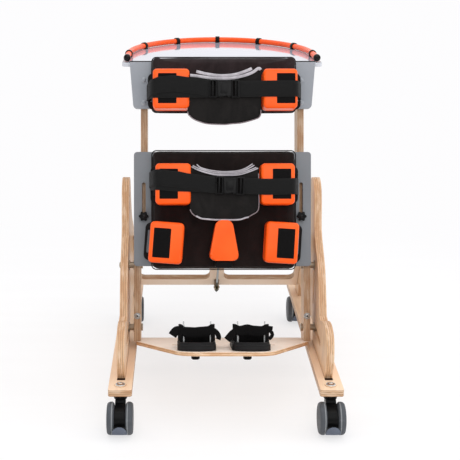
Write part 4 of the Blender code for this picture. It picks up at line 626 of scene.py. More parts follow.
def lathe(name, material, place_at, profile, steps=40, angle=40):
    """A turned solid about its own Z from (radius, height) points, closed at both ends."""
    shape = bmesh.new()
    rings = []
    for radius, height in mm(*profile):
        turns = [2 * math.pi * step / steps for step in range(steps if radius else 1)]
        rings.append([
            shape.verts.new((radius * math.cos(turn), radius * math.sin(turn), height))
            for turn in turns
        ])
    bridged(shape, rings)
    return from_shape(name, shape, material, place_at, angle)


def stack(name, material, place_at, outline, levels, angle):
    """A solid from one (x, y) outline at several (scale, height) levels."""
    shape = bmesh.new()
    bridged(shape, [
        [shape.verts.new((x * scale, y * scale, height)) for x, y in outline]
        for scale, height in levels
    ])
    return from_shape(name, shape, material, place_at, angle)


def rod(name, material, place_at, points, radius, sides=14, closed=False, flat=1.0):
    """A round bar along a smooth line, whose section flat squeezes."""
    shape = bmesh.new()
    across = None
    rings = []
    turns = [2 * math.pi * step / sides for step in range(sides)]
    for here, before, after in neighbours([Vector(point) for point in points], closed):
        heading = (after - before).normalized()
        if across is None:
            across = (UP if abs(heading.z) < 0.9 else ALONG_Y).cross(heading).normalized()
        else:
            across = (across - heading * across.dot(heading)).normalized()
        up = heading.cross(across)
        rings.append([
            shape.verts.new(
                here + across * (radius * math.cos(turn) * flat) + up * (radius * math.sin(turn))
            )
            for turn in turns
        ])
    bridged(shape, rings, closed)
    return from_shape(name, shape, material, place_at)


def strap(name, material, place_at, line, section, spot, angle):
    """A strip along a line from an (out, across) section, with UVs in metres along and across it;
    spot gives a point from the line's point, its heading and a point of the section."""
    shape = bmesh.new()
    layout = shape.loops.layers.uv.new("UVMap")
    rings = []
    laid = {}
    run = 0.0
    for here, before, after in neighbours(line):
        run += (here - before).length
        heading = (after - before).normalized()
        ring = [shape.verts.new(spot(here, heading, out, across)) for out, across in section]
        laid.update((vert, (run, across)) for vert, (out, across) in zip(ring, section))
        rings.append(ring)
    bridged(shape, rings)
    for face in shape.faces:
        for corner in face.loops:
            corner[layout].uv = laid[corner.vert]
    return from_shape(name, shape, material, place_at, angle)


def ribbon(name, material, place_at, path, width, thick, lift):
    """Webbing along an (x, v) path, standing on edge, lifted by a function of x."""
    half = width / 2
    soft = half - thick * 0.3
    side = (-soft, -half * 0.5, 0.0, half * 0.5, soft)
    section = [(-0.5 * thick, w) for w in side] + [(-0.25 * thick, half), (0.25 * thick, half)]
    section += [(0.5 * thick, w) for w in side[::-1]]
    section += [(0.25 * thick, -half), (-0.25 * thick, -half)]

    def spot(here, heading, out, across):
        return (here.x - heading.y * out, here.y + heading.x * out, across + lift(here.x))
    return strap(name, material, place_at, path, section, spot, 40)


def loose_end(name, material, place_at, line, width, thick):
    """A soft strip facing the user along a line in space, its width across the line."""
    outline = ((-0.5, -0.3), (-0.46, 0.5), (0.46, 0.5), (0.5, -0.3), (0.46, -0.5), (-0.46, -0.5))
    section = [(b * thick, a * width) for a, b in outline]

    def spot(here, heading, out, across):
        sideways = heading.cross(-ALONG_Y).normalized()
        return here + sideways * across + sideways.cross(heading).normalized() * out
    return strap(name, material, place_at, line, section, spot, 50)


def swept_wall(name, material, place_at, line, low, high, wall):
    """A thin upright wall along a line, with a rounded top edge."""
    section = [
        (-wall / 2, low), (-wall / 2, high - wall / 2), (-wall / 4, high - wall / 8),
        (wall / 4, high - wall / 8), (wall / 2, high - wall / 2), (wall / 2, low),
    ]
    shape = bmesh.new()
    rings = []
    for here, before, after in neighbours([Vector(point) for point in line]):
        heading = (after - before).normalized()
        rings.append([
            shape.verts.new((here.x - heading.y * out, here.y + heading.x * out, height))
            for out, height in section
        ])
    bridged(shape, rings)
    return from_shape(name, shape, material, place_at, 50)


def settle(made, body, slot_name, *nodes):
    """Says which body a piece rides on and what it stands for; slot_name is not used."""
    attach(made, body)
    if nodes:
        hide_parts(*nodes)
    return made


def kit(label, body, material, slot_name, place_at):
    """A maker of pieces that share these, unless a piece has its own."""
    def piece(make, tag, *form, stands_for=None, dress=material, slot=slot_name, at=place_at):
        made = make(label + tag, dress, at, *form)
        return settle(made, body, slot, *([stands_for] if stands_for else []))
    return piece


def moved(x=0.0, y=0.0, z=0.0):
    """A move without a turn."""
    return Matrix.Translation((x, y, z))


def in_frame(x, v, w):
    """The tilting frame's axes, moved to a spot in them."""
    return FRAME @ moved(x, v, w)


# Camera, light and floor

view = bpy.data.cameras.new("photo_view")
view.lens = 78.26
view.sensor_width = 36
view.shift_x = 0.1087
camera = link(bpy.data.objects.new("photo_view", view))
camera.location = (-0.104, -2.0884 - MIDDLE_Y, 1.091)
camera.rotation_euler = (math.radians(73.56), 0, 0)
SCENE.camera = camera
SCENE.view_settings.view_transform = "Standard"


def softbox(name, place_at, aim, size, power):
    """A soft square light aimed at a point."""
    lamp = bpy.data.lights.new(name, "AREA")
    lamp.shape = "SQUARE"
    lamp.size = size
    lamp.energy = power
    made = link(bpy.data.objects.new(name, lamp))
    made.location = place_at
    made.rotation_euler = (Vector(aim) - Vector(place_at)).to_track_quat("-Z", "Y").to_euler()


softbox("front_box", (0.3, -2.7, 2.3), (0, 0, 0.45), 2.4, 27)
softbox("top_box", (0.2, 0.5, 3.2), (0, 0, 0.3), 2.6, 22)
softbox("right_box", (2.6, -0.6, 1.7), (0, 0, 0.4), 1.6, 12)


def studio_sky():
    """Even light from all round; white to the eye, and darker to gloss towards the user."""
    world = bpy.data.worlds.new("white_studio")
    world.use_nodes = True
    SCENE.world = world
    sky = Nodes(world.node_tree)
    sky.tree.nodes.clear()
    rays = sky.node("ShaderNodeLightPath").outputs
    seen = sky.sum("MAXIMUM", rays["Is Camera Ray"], rays["Is Glossy Ray"])
    seen = sky.sum("MAXIMUM", seen, rays["Is Transmission Ray"])
    direction = sky.node("ShaderNodeTexCoord").outputs["Generated"]
    _, y, z = sky.node("ShaderNodeSeparateXYZ", {0: direction}).outputs
    lean = sky.sum("MULTIPLY_ADD", z, 0.55, y)
    dim = sky.node("ShaderNodeMapRange", {0: lean, 1: -0.55, 2: 0.45, 3: 0.70, 4: 0.0}).outputs[0]
    strength = sky.sum("SUBTRACT", 1.0, sky.times(rays["Is Glossy Ray"], dim))
    lighting = sky.node("ShaderNodeBackground", {0: (0.97, 0.985, 1.0, 1), 1: 0.93})
    shown = sky.node("ShaderNodeBackground", {0: (0.975, 0.975, 0.985, 1), 1: strength})
    both = sky.node("ShaderNodeMixShader", {0: seen, 1: lighting.outputs[0], 2: shown.outputs[0]})
    sky.node("ShaderNodeOutputWorld", {0: both.outputs[0]})


def studio_floor():
    """A wide pale floor that takes the object's shadow and fades to white further out."""
    shape = bmesh.new()
    bmesh.ops.create_grid(shape, x_segments=2, y_segments=2, size=30)
    data = bpy.data.meshes.new("studio_floor")
    shape.to_mesh(data)
    shape.free()
    pale = Finish("pale_floor", 0.7, Specular_IOR_Level=0.12)
    boards = pale.grain(pale.stretched(1.2, 14, 1), 1.0, 4.0, 0.6)
    tone = pale.fade(boards, 0.35, 0.7, (0.90, 0.885, 0.875), (0.93, 0.92, 0.915))
    data.materials.append(pale.finished(tone, (boards, 0.6, 0.8)))
    reach = pale.node("ShaderNodeVectorMath", {0: pale.place}, operation="LENGTH").outputs["Value"]
    rays = pale.node("ShaderNodeLightPath").outputs
    looked = pale.sum("MAXIMUM", rays["Is Camera Ray"], rays["Is Glossy Ray"])
    glow = pale.node("ShaderNodeEmission", {0: (0.985, 0.98, 0.99, 1.0), 1: 1.0})
    blend = pale.node("ShaderNodeMixShader", {
        0: pale.times(pale.span(reach, 0.55, 1.5, 0.66, 1.0), looked),
        1: pale.shader.outputs[0],
        2: glow.outputs[0],
    })
    pale.tree.links.new(blend.outputs[0], pale.tree.nodes["Material Output"].inputs["Surface"])
    made = link(bpy.data.objects.new("studio_floor", data))


studio_sky()
studio_floor()


# Solid parts that stay: their materials and sanded edges

def finish_nodes(material, *names):
    """Gives CAD nodes a material."""
    for name in names:
        data = NODES[name].data
        data.materials.clear()
        data.materials.append(material)


def soften(width, segments, *names):
    """Rounds the cut edges of CAD boards by a modifier on top of their mesh."""
    for name in names:
        NODES[name].modifiers.new("joined", "WELD").merge_threshold = WELD_GAP
        edge = NODES[name].modifiers.new("sanded_edge", "BEVEL")
        edge.width = width
        edge.segments = segments
        edge.limit_method = "ANGLE"
        edge.angle_limit = math.radians(50)
        edge.use_clamp_overlap = True


PLATES = ("side_plate_left", "side_plate_right")
UPRIGHTS = ("upright_left", "upright_right", "mast_left", "mast_right")
RUNNERS = ("runner_left", "runner_right")
finish_nodes(PLY_PLATE, *PLATES)
finish_nodes(PLY_UPRIGHT, *UPRIGHTS)
finish_nodes(PLY_RUNNER, *RUNNERS)
finish_nodes(PLY_FOOTBOARD, "footboard")
finish_nodes(PLY_CROSS, "rear_cross_board")
finish_nodes(GREY_HIP, "hip_panel")
finish_nodes(GREY_CHEST, "chest_board")
finish_nodes(GREY_TRAY, "tray_board")
finish_nodes(TRAY_GLOSS, "tray_top")
finish_nodes(BLACK_COAT, "strut_bracket", "strut_cylinder")
finish_nodes(ROD_STEEL, "strut_rod")
finish_nodes(
    ZINC_BROWN, "strut_fork", "lower_slide_bolt_left", "lower_slide_bolt_right",
    "upper_slide_bolt_left", "upper_slide_bolt_right",
)
soften(0.0050, 4, *PLATES)
soften(0.0012, 2, *UPRIGHTS, *RUNNERS)
soften(0.0010, 2, "footboard", "rear_cross_board", "hip_panel", "chest_board", "tray_board")


# Pads: remeshed, filled by a cloth simulation and held flat at the board

def filled(made, held, cap):
    """Blows a closed cover up a little, holding some points, and works the result in."""
    verts = made.data.vertices
    group = made.vertex_groups.new(name="held")
    group.add([vert.index for vert in verts if held(vert.co)], 1.0, "REPLACE")
    air = made.modifiers.new("air", "CLOTH")
    air.settings.use_pressure = True
    air.settings.uniform_pressure_force = 4.0
    air.settings.vertex_group_mass = "held"
    air.settings.effector_weights.gravity = 0
    air.settings.quality = 5
    air.point_cache.frame_start = 1
    air.point_cache.frame_end = FILL_FRAMES
    for number in range(FILL_FRAMES):
        SCENE.frame_set(number + 1)
    graph = bpy.context.evaluated_depsgraph_get()
    after = [vert.co.copy() for vert in made.evaluated_get(graph).data.vertices]
    made.modifiers.remove(air)
    SCENE.frame_set(1)
    for vert, last in zip(verts, after):
        shift = last - vert.co
        if shift.length > cap:
            shift = shift.normalized() * cap
        vert.co += shift


def board_pad(name, low, height, cloth, body, node):
    """A padded board cover: soft rolled edges, flat back, a seam round its sides."""
    half_w = PAD_WIDTH / 2
    half_h = height / 2
    centre = (PAD_MIDDLE_X, low + half_h)
    piece = kit(name, body, cloth, "dark_fabric", FRAME)
    outline = rectangle(half_w - 0.0012, half_h - 0.0012, 0.0115, 6, centre)
    block = piece(slab, "", outline, PAD_BACK, PAD_FRONT + 0.0035, 0.0068, 4, stands_for=node)
    remesh = block.modifiers.new("even", "REMESH")
    remesh.mode = "VOXEL"
    remesh.voxel_size = 0.0050
    bpy.context.view_layer.update()
    graph = bpy.context.evaluated_depsgraph_get()
    block.data = bpy.data.meshes.new_from_object(block.evaluated_get(graph))
    block.modifiers.clear()
    filled(block, lambda co: co.y > PAD_BACK - 0.004, 0.006)
    for vert in block.data.vertices:
        x, v, w = vert.co
        across = min(abs(x - centre[0]) / half_w, 1.0)
        upward = min(abs(w - centre[1]) / half_h, 1.0)
        if v < PAD_BACK - 0.012:
            crown = (1 - across ** 6) * (1 - upward ** 6)
            v += noise.noise(Vector((x * 14, 0.3, w * 14))) * 0.0009 - 0.0010 * crown
        vert.co = (x, min(max(v, PAD_FRONT + 0.0002), PAD_BACK), w)
    smooth = block.modifiers.new("smooth", "SUBSURF")
    smooth.levels = 1
    smooth.render_levels = 1
    block.data.materials.clear()
    block.data.materials.append(cloth)
    block.data.shade_smooth()
    seam = rectangle(half_w - 0.0014, half_h - 0.0014, 0.0112, 8, centre)
    piece(rod, "_seam", [(x, PAD_FRONT + 0.0180, w) for x, w in seam], 0.0013, 8, True)


board_pad("hip_pad_cover", 0.1448, 0.2910, VELOUR, "frame", "hip_pad")
# The chest pad's cover takes the lighter velour, which is painted light.
board_pad("chest_pad_cover", 0.5255, 0.1372, VELOUR_PAINTED_LIGHTER, "chest_unit", "chest_pad")


# Side supports: moulded block with its patch, bracket with the belt loop, and clamp

def foam_form(name, material, place_at, width, height, depth):
    """A moulded block with soft round edges, its back at v 0 and its front towards -v."""
    shape = bmesh.new()
    bmesh.ops.create_cube(shape, size=1.0)
    bmesh.ops.scale(shape, vec=(width, depth, height), verts=shape.verts)
    bmesh.ops.translate(shape, vec=(0, -depth / 2, 0), verts=shape.verts)

    def round_off(edges, offset, segments):
        bmesh.ops.bevel(
            shape, geom=edges, offset=offset, segments=segments, affect="EDGES", profile=0.5,
        )

    def is_rim(edge):
        flat = [face for face in edge.link_faces if abs(face.normal.y) > 0.9]
        return len(flat) == 1 and all(vert.co.y < -depth * 0.98 for vert in edge.verts)

    round_off([
        edge for edge in shape.edges
        if abs(edge.verts[0].co.y - edge.verts[1].co.y) > depth / 2
    ], 0.0095, 6)
    round_off([edge for edge in shape.edges if is_rim(edge)], 0.007, 5)
    return from_shape(name, shape, material, place_at, 60)


def behind_panel(place_at):
    """The place of a clamp on the back of the panel."""
    return place_at @ moved(0, PANEL_BACK + SKIN, 0) @ FACING_USER.inverted()


def support_pieces(kind, name, side):
    """All visible pieces of one support."""
    x, w, width, height = BLOCKS[kind]
    which = "%s_%s" % (kind, name)
    label = "%s_support_%s" % (kind, name)
    half_w = width * BLOCK_FIT[which] / 2
    half_h = height / 2
    lean = math.radians(BLOCK_LEAN.get(which, 0.0))
    place_at = in_frame(side * x + BLOCK_SHIFT[kind], 0, w) @ Matrix.Rotation(lean, 4, "Y")
    foam = kit(label, label, FOAM, "orange_foam", place_at)
    black = kit(label, label, BLACK_COAT, "black_plastic", place_at)
    block = foam(
        foam_form, "_block", 2 * half_w, height, BLOCK_BACK - BLOCK_FRONT, stands_for=label,
        at=place_at @ moved(0, BLOCK_BACK, 0),
    )
    groove = rectangle(half_w + 0.0004, half_h + 0.0004, 0.0135, 8)
    foam(rod, "_parting", [(x, BLOCK_BACK - 0.006, w) for x, w in groove], 0.0005, 6, True)
    patch_size = (0.02025, 0.0350) if kind == "knee" else (0.02175, 0.0355)
    patch_at = (PATCH_X[which], -0.0010 if kind == "knee" else 0.0)
    black(
        slab, "_patch", rectangle(*patch_size, 0.0015, 3, patch_at), BLOCK_FRONT + 0.0004,
        BLOCK_FRONT - SKIN, 0.0002, 1, dress=HOOK_PILE, slot="dark_fabric",
    )
    inner = -half_w + 0.012
    outer = half_w + LOOP_REACH
    tall = half_h - 0.003
    edge = rounded([
        (inner, -tall, 0.006), (outer, -tall, 0.0135), (outer, tall, 0.0135), (inner, tall, 0.006),
    ], 8)
    hole = rectangle(0.0032, tall - 0.018, 0.0028, 5, (half_w + 0.0044, 0))
    if side < 0:
        edge, hole = ([(-x, w) for x, w in reversed(line)] for line in (edge, hole))
    black(slab, "_bracket", edge, PAD_FRONT - 0.0004, BLOCK_BACK + 0.0001, 0.0009, 2, hole)
    black(lathe, "_clamp", [
        (0, 10), (4, 10), (4.5, 9.2), (10.5, 9.2), (12.5, 7.5), (13, 2), (12.2, 0), (0, 0),
    ], 28, dress=BLACK, at=behind_panel(place_at))


for kind in BLOCKS:
    for name, side in SIDES:
        support_pieces(kind, name, side)


def abductor_pieces(stud_w):
    """The wedge between the knees with its bevelled sides, and its holder below."""
    place_at = in_frame(0, 0, stud_w)
    low = 0.1695 - stud_w
    top = 0.2647 - stud_w
    holder_low = 0.150 - stud_w
    piece = kit("abductor", "abductor", BLACK, "black_plastic", place_at)
    edge = rounded([
        (-0.036, low, 0.012), (0.036, low, 0.012), (0.0185, top, 0.016), (-0.0185, top, 0.016),
    ], 8)
    wedge = piece(
        slab, "_wedge", edge, BLOCK_BACK + 0.0009, BLOCK_BACK - 0.063, 0.0065, 5,
        stands_for="abductor", dress=FOAM, slot="orange_foam",
    )
    plate = rounded([
        (-0.022, holder_low, 0.009), (0.022, holder_low, 0.009),
        (0.022, top - 0.020, 0.008), (-0.022, top - 0.020, 0.008),
    ])
    piece(
        slab, "_holder", plate, PAD_FRONT - 0.0004, PAD_FRONT - 0.0044, 0.0009, 2,
        dress=BLACK_COAT,
    )
    heel = rectangle(0.0205, 0.0085, 0.004, 4, (0, holder_low + 0.0105))
    piece(slab, "_foot", heel, PAD_FRONT - 0.0040, PAD_FRONT - 0.036, 0.003, 3)
    piece(lathe, "_clamp", [
        (0, 8), (10.5, 7.8), (12.5, 6), (13, 1.5), (12.2, 0), (0, 0),
    ], 28, at=behind_panel(place_at))


abductor_pieces(0.185)


# Belts: webbing round each support's loop and over its block, a side-release buckle and a band

def webbing(label, side, end_x, centre, node=None, proud=0.0):
    """Webbing from a loop's bar across its block; proud lifts a second layer off the first."""
    kind = label.split("_")[0]
    which = "%s_%s" % (kind, SIDES[side > 0][0])
    shift = BLOCK_SHIFT[kind]
    edge_x = BLOCKS[kind][0] + BLOCKS[kind][2] / 2 * BLOCK_FIT[which]
    front = WEB_FACE - proud
    path = [] if proud else [
        (edge_x + 0.0062, BLOCK_BACK - 0.007),
        (edge_x + 0.0062, PAD_FRONT - 0.0015),
        (edge_x + 0.0098, PAD_FRONT + 0.0010),
    ]
    path += [
        (edge_x + 0.0126 + proud, PAD_FRONT - 0.0015),
        (edge_x + 0.0126 + proud, BLOCK_BACK - 0.005),
        (edge_x + 0.0066 + proud, BLOCK_FRONT + 0.020),
        (edge_x + 0.0014 + proud, BLOCK_FRONT + 0.0055),
        (edge_x - 0.0050, front + 0.0002),
        (edge_x - 0.016, front),
        (edge_x - 0.045, front),
        (edge_x - 0.075, front),
        (side * (end_x - shift), front),
    ]
    line = [Vector((side * point.x + shift, point.y)) for point in curved(path, 5)]
    piece = kit(label, which.replace("_", "_support_"), WEBBING, "webbing", FRAME)
    piece(ribbon, "", line, 0.038, 0.0017, centre, stands_for=node)


chest_level = drawn_line((-180, 571.5), (180, 574.5))
chest_skew = drawn_line(
    (-188, 568.5), (-172, 577.5), (-150, 583.5), (-120, 586.2), (-80, 581.8), (-36, 575.2),
)
hip_level = drawn_line((-160, 354.8), (-110, 351.2), (-30, 349.0))
hip_skew = drawn_line((-185, 360.0), (-155, 365.5), (-112, 360.6), (-76, 354.5), (-22, 347.0))
hip_right = drawn_line((50, 345.3), (100, 343.2), (180, 345.0))
webbing("chest_web_left", -1, -0.030, chest_level, "chest_belt_left")
webbing("chest_web_left_top", -1, -0.031, chest_skew, None, 0.0021)
webbing("chest_web_right", 1, 0.030, chest_level, "chest_belt_right")
webbing("hip_web_left", -1, -0.017, hip_level, "hip_belt_left")
webbing("hip_web_left_top", -1, -0.018, hip_skew, None, 0.0021)
webbing("hip_web_right", 1, 0.043, hip_right, "hip_belt_right")


def buckle_pieces(label, centre_x, centre_w, slope, length, body, node):
    """Side-release buckle: a ladder for the webbing at each end, body, prongs and release edges."""
    place_at = in_frame(centre_x, WEB_FACE, centre_w) @ Matrix.Rotation(-math.atan(slope), 4, "Y")
    piece = kit(label, body, BUCKLE_BLACK, "black_plastic", place_at)
    half = length / 2
    tall = 0.0213
    for name, side in SIDES:
        middle = side * (half - 0.0095)
        opening = rectangle(0.0062, tall - 0.0030, 0.0018, 4, (middle, 0))
        outline = rectangle(0.0095, tall, 0.003, 5, (middle, 0))
        piece(slab, "_%s_frame" % name, outline, 0.0042, -0.0046, 0.0013, 3, opening)
        bar = rectangle(0.0020, tall - 0.0010, 0.0006, 2, (middle + side * 0.0004, 0))
        piece(slab, "_%s_bar" % name, bar, -0.0012, -0.0042, 0.0009)
    lower = [(0.0185 - half, -0.0195, 0.003)]
    lower += mm((-9, -19.5, 3), (-5.5, -16.8, 4), (6, -16.8, 4), (10, -19.5, 3))
    lower += [(half - 0.0185, -0.0195, 0.003)]
    core = rounded(lower + [(x, -w, radius) for x, w, radius in reversed(lower)], 4)
    piece(slab, "_core", core, 0.0050, -0.0052, 0.0018, stands_for=node)
    panel = rectangle(0.0085, 0.0120, 0.003, 5, (-0.0005, 0))
    piece(slab, "_panel", panel, -0.0050, -0.0060, 0.0007)
    for name, side in (("low", -1), ("high", 1)):
        prong = rounded([
            (0.0035, side * 0.0150 - 0.0016, 0.001), (0.0150, side * 0.0162 - 0.0016, 0.001),
            (0.0150, side * 0.0162 + 0.0020, 0.001), (0.0035, side * 0.0172 + 0.0016, 0.001),
        ], 3)
        piece(slab, "_prong_" + name, prong, 0.0030, -0.0056, 0.0010)
        piece(rod, "_press_" + name, [
            (-0.0125 + 0.0028 * step, -0.0049, side * (0.0185 - 0.0007 * abs(step - 3)))
            for step in range(7)
        ], 0.0009, 8)


buckle_pieces("chest_clasp", 0.0, 0.5738, 0.0, 0.072, "chest_unit", "chest_buckle")
buckle_pieces("hip_clasp", 0.0133, 0.3462, -0.030, 0.069, "frame", "hip_buckle")


def band_pad(name, top, bottom, body, node, reach):
    """A padded band hanging between two blocks, from its top and bottom lines in (x, w)."""
    columns = 44
    rows = 26
    shape = bmesh.new()
    sheets = []
    for back in (False, True):
        grid = []
        for column in range(columns + 1):
            x_share = column / columns
            x = -reach + 2 * reach * x_share
            low = bottom(x)
            tall = top(x) - low
            line = []
            for row in range(rows + 1):
                share = row / rows
                w = low + tall * share
                rim = min(min(x_share, 1 - x_share) * 2 * reach, min(share, 1 - share) * tall)
                full = math.sqrt(max(1 - (1 - min(rim / 0.014, 1.0)) ** 2, 0.0))
                quilt = 0.0011 * noise.noise(Vector((x * 22, 1.7, w * 22)))
                out = 0.0016 + (0.0074 + quilt) * full if back else 0.0008 * (1 - full)
                line.append(shape.verts.new((x, BELT_PAD_FRONT + out, w)))
            grid.append(line)
        sheets.append(grid)
    closed_sheets(shape, *sheets)
    made = settle(from_shape(name, shape, BELT_CLOTH, FRAME, 70), body, "dark_fabric", node)


def strands(name, body, lines, radius, flat, cloth=BINDING):
    """Bound strands along an edge, each a flat cord with a cut end."""
    piece = kit(name, body, cloth, "dark_fabric", FRAME)
    for number, line in enumerate(lines):
        v = BELT_PAD_FRONT - 0.0012 - 0.0009 * (number % 2)
        points = [(x, v, w) for x, w in curved(line, 6)]
        piece(rod, "_%d" % (number + 1), points, radius, 10, False, flat)


def just_below(line, drop, *places):
    """Points a little below a line, at places in millimetres."""
    return [(x / 1000, line(x / 1000) - drop) for x in places]


chest_top = drawn_line(
    (-87, 608), (-60, 603.5), (-25, 598.5), (10, 598.5), (40, 602.5), (68, 611), (87, 619),
)
chest_low = drawn_line(
    (-87, 522.5), (-83, 512), (-76, 505.8), (-62, 498), (-40, 492.5), (-11, 490), (32, 493),
    (61, 499), (79, 504.5), (84, 508.5), (87, 516),
)
band_pad("chest_band", chest_top, chest_low, "chest_unit", "chest_belt_pad", 0.0862)
strands("chest_binding", "chest_unit", (
    mm((-65.5, 615.2), (-55, 612.6), (-38, 608.8), (-8, 605.2), (24, 607.8), (50, 615.6),
       (65, 622.2)),
    mm((-80, 606), (-62, 604.2), (-26, 599.2), (10, 598.6), (40, 603.6), (66, 612.6), (78, 620.8),
       (83, 622.2), (86.2, 619)),
), 0.0036, 0.60)
strands("chest_piping", "chest_unit", (
    just_below(
        chest_low, 0.0004, -86, -84, -81, -76, -68, -60, -45, -25, 0, 20, 40, 60, 76, 82, 86,
    ) + [(0.0868, 0.5240)],
), 0.0013, 1.0, PIPING)

hip_top = drawn_line(
    (-81, 390), (-60, 383.5), (-30, 374.5), (8, 372.2), (35, 373.8), (60, 381.5), (81, 389),
)
hip_low = drawn_line(
    (-81, 292), (-77.5, 283.5), (-70, 276.2), (-52, 269), (-22, 266.2), (20, 266), (38, 267),
    (56, 272.2), (73, 281.5), (79, 287), (81, 293),
)
band_pad("hip_band", hip_top, hip_low, "frame", "hip_belt_pad", 0.0805)
strands("hip_binding", "frame", (
    mm((-64.5, 396.2), (-55, 388.5), (-30, 381.8), (0, 379), (30, 380.8), (50, 386.8), (67, 397.5)),
    mm((-74, 393.5), (-60, 386.8), (-30, 378.2), (0, 375.7), (30, 377.5), (52, 383.8), (71, 394.2)),
    mm((-77, 390.8), (-62, 383.8), (-30, 374.8), (0, 372.5), (30, 374.2), (55, 381), (76, 389.2)),
    mm((-70, 386.5), (-50, 378.5), (-20, 371.2), (8, 370), (35, 371.6), (60, 379), (80, 387.2)),
), 0.00145, 0.90)
strands("hip_piping", "frame", (
    just_below(hip_low, 0.0004, -80, -77, -70, -60, -52, -36, -20, 0, 20, 38, 56, 66, 73, 79)
    + mm((81.5, 295), (82.2, 312), (81.5, 330), (81.2, 375)),
), 0.0012, 1.0, PIPING)
strands("hip_hem", "frame", (
    just_below(hip_low, 0.0006, -66, -60, -52, -36, -20, 0, 20, 38, 50, 58),
), 0.0020, 0.7)


# Tray rail: orange tube in clips, with end caps, and the sheet's front edge

def rail_line(share):
    """A point along the rail: straight, half an ellipse, straight."""
    half_width = 0.2345
    reach = 0.3455
    start = 0.012
    straight = 0.098
    bend = math.pi * math.sqrt((half_width ** 2 + reach ** 2) / 2)
    along = share * (2 * straight + bend)
    height = TRAY_Z + 0.0108
    if along < straight:
        return Vector((-half_width, TRAY_Y + start + along, height))
    if along > straight + bend:
        return Vector((half_width, TRAY_Y + start + 2 * straight + bend - along, height))
    angle = math.pi * (1 - (along - straight) / bend)
    y = TRAY_Y + start + straight + reach * math.sin(angle)
    return Vector((half_width * math.cos(angle), y, height))


def rail_pieces():
    """The tube, its clips and its end caps, and a dark strip at the sheet's front edge that paints
    the shadow gap between board and sheet.
    """
    piece = kit("", "chest_unit", BLACK, "black_plastic", Matrix())
    tube = [rail_line(step / 160) for step in range(161)]
    piece(
        rod, "rail_tube", tube, 0.0074, 24, stands_for="tray_rail", dress=TUBE_ORANGE,
        slot="orange_tube",
    )
    band = arc((0, 0), 0.0097, -38, 218, 22)
    band += mm((-9.3, -7.2), (-9.3, -8.3), (9.3, -8.3), (9.3, -7.2))
    for number, share in enumerate((0.08, 0.228, 0.368, 0.505, 0.642, 0.782, 0.922)):
        ahead = (rail_line(share + 0.002) - rail_line(share - 0.002)).normalized()
        turn = ahead.to_track_quat("Y", "Z").to_matrix().to_4x4()
        spot = moved(*rail_line(share)) @ turn
        piece(slab, "rail_clip_%d" % (number + 1), band, 0.0059, -0.0059, 0.0007, 2, at=spot)
    for (name, side), share in zip(SIDES, (0.0, 1.0)):
        piece(lathe, "rail_cap_" + name, [
            (0, 6.2), (1.6, 6.2), (2.2, 5.2), (5.2, 5), (7.8, 3.8), (8.9, 1.2), (9, -4),
            (7.6, -4.2), (0, -4.2),
        ], 32, dress=BLACK_GLOSS, at=moved(*rail_line(share)) @ FACING_USER)
    # A dark strip standing in for the shadow gap between the board and the sheet: painted shade.
    piece(
        slab, "tray_sheet_edge", rectangle(0.2285, 0.0021, 0.0006, 2), 0.0011, -0.0011, 0.0003, 1,
        dress=PAINTED_SHADE, at=moved(0, TRAY_Y + 0.0004, TRAY_Z + 0.0024),
    )


rail_pieces()


# Foot holders: sole and heel cup, steel posts, and the strap threaded round the posts

STRAP_TOPS = {
    "left": drawn_line((-36, 26.2), (-26, 20), (-5, 19), (12, 20.5), (24, 21.5), (35, 26.5)),
    "right": drawn_line((-36, 26.5), (-26, 22.5), (-8, 25.8), (8, 22.8), (24, 21.8), (35, 26.2)),
}
INSTEP_RISE = drawn_line((-40, -8.5), (-20, -11), (20, -11), (40, -8.5))
BAND_PATH = curved(mm(
    (-40.5, -198.5), (-36.5, -204), (-31, -205), (-18, -204), (0, -203.6), (18, -204), (31, -205),
    (36.5, -204), (40.5, -198.5),
), 5)
INSTEP_HALF = mm(
    (33, -205.2), (38.5, -203), (41.2, -192), (40, -170), (30, -150), (14, -141), (0, -139),
)
INSTEP_PATH = curved([(-x, v) for x, v in INSTEP_HALF] + INSTEP_HALF[-2::-1], 5)
LOOSE_ENDS = {
    "left": (
        ("_flap", 0.0200, mm((-37, -203, 10.5), (-44, -205, 12), (-50, -205.5, 8),
                             (-55.5, -206.5, 0))),
        ("_tail", 0.0115, mm((36, -204.5, 13), (42, -205.5, 10.5), (47.5, -206, 4.5),
                             (50.5, -206.5, -3), (49, -207, -8.5))),
    ),
    "right": (
        ("_flap", 0.0165, mm((-35, -204, 9), (-41, -205.5, 5.5), (-48, -206, -2),
                             (-54.5, -207, -10))),
        ("_tip", 0.0085, mm((35, -204.5, 19.5), (42, -205.5, 18), (50, -206, 17))),
        ("_tail", 0.0085, mm((37, -204.5, 12), (45, -205.5, 10), (49, -206, 3), (46, -206.5, -3.5),
                             (41, -206, -7.5))),
    ),
}


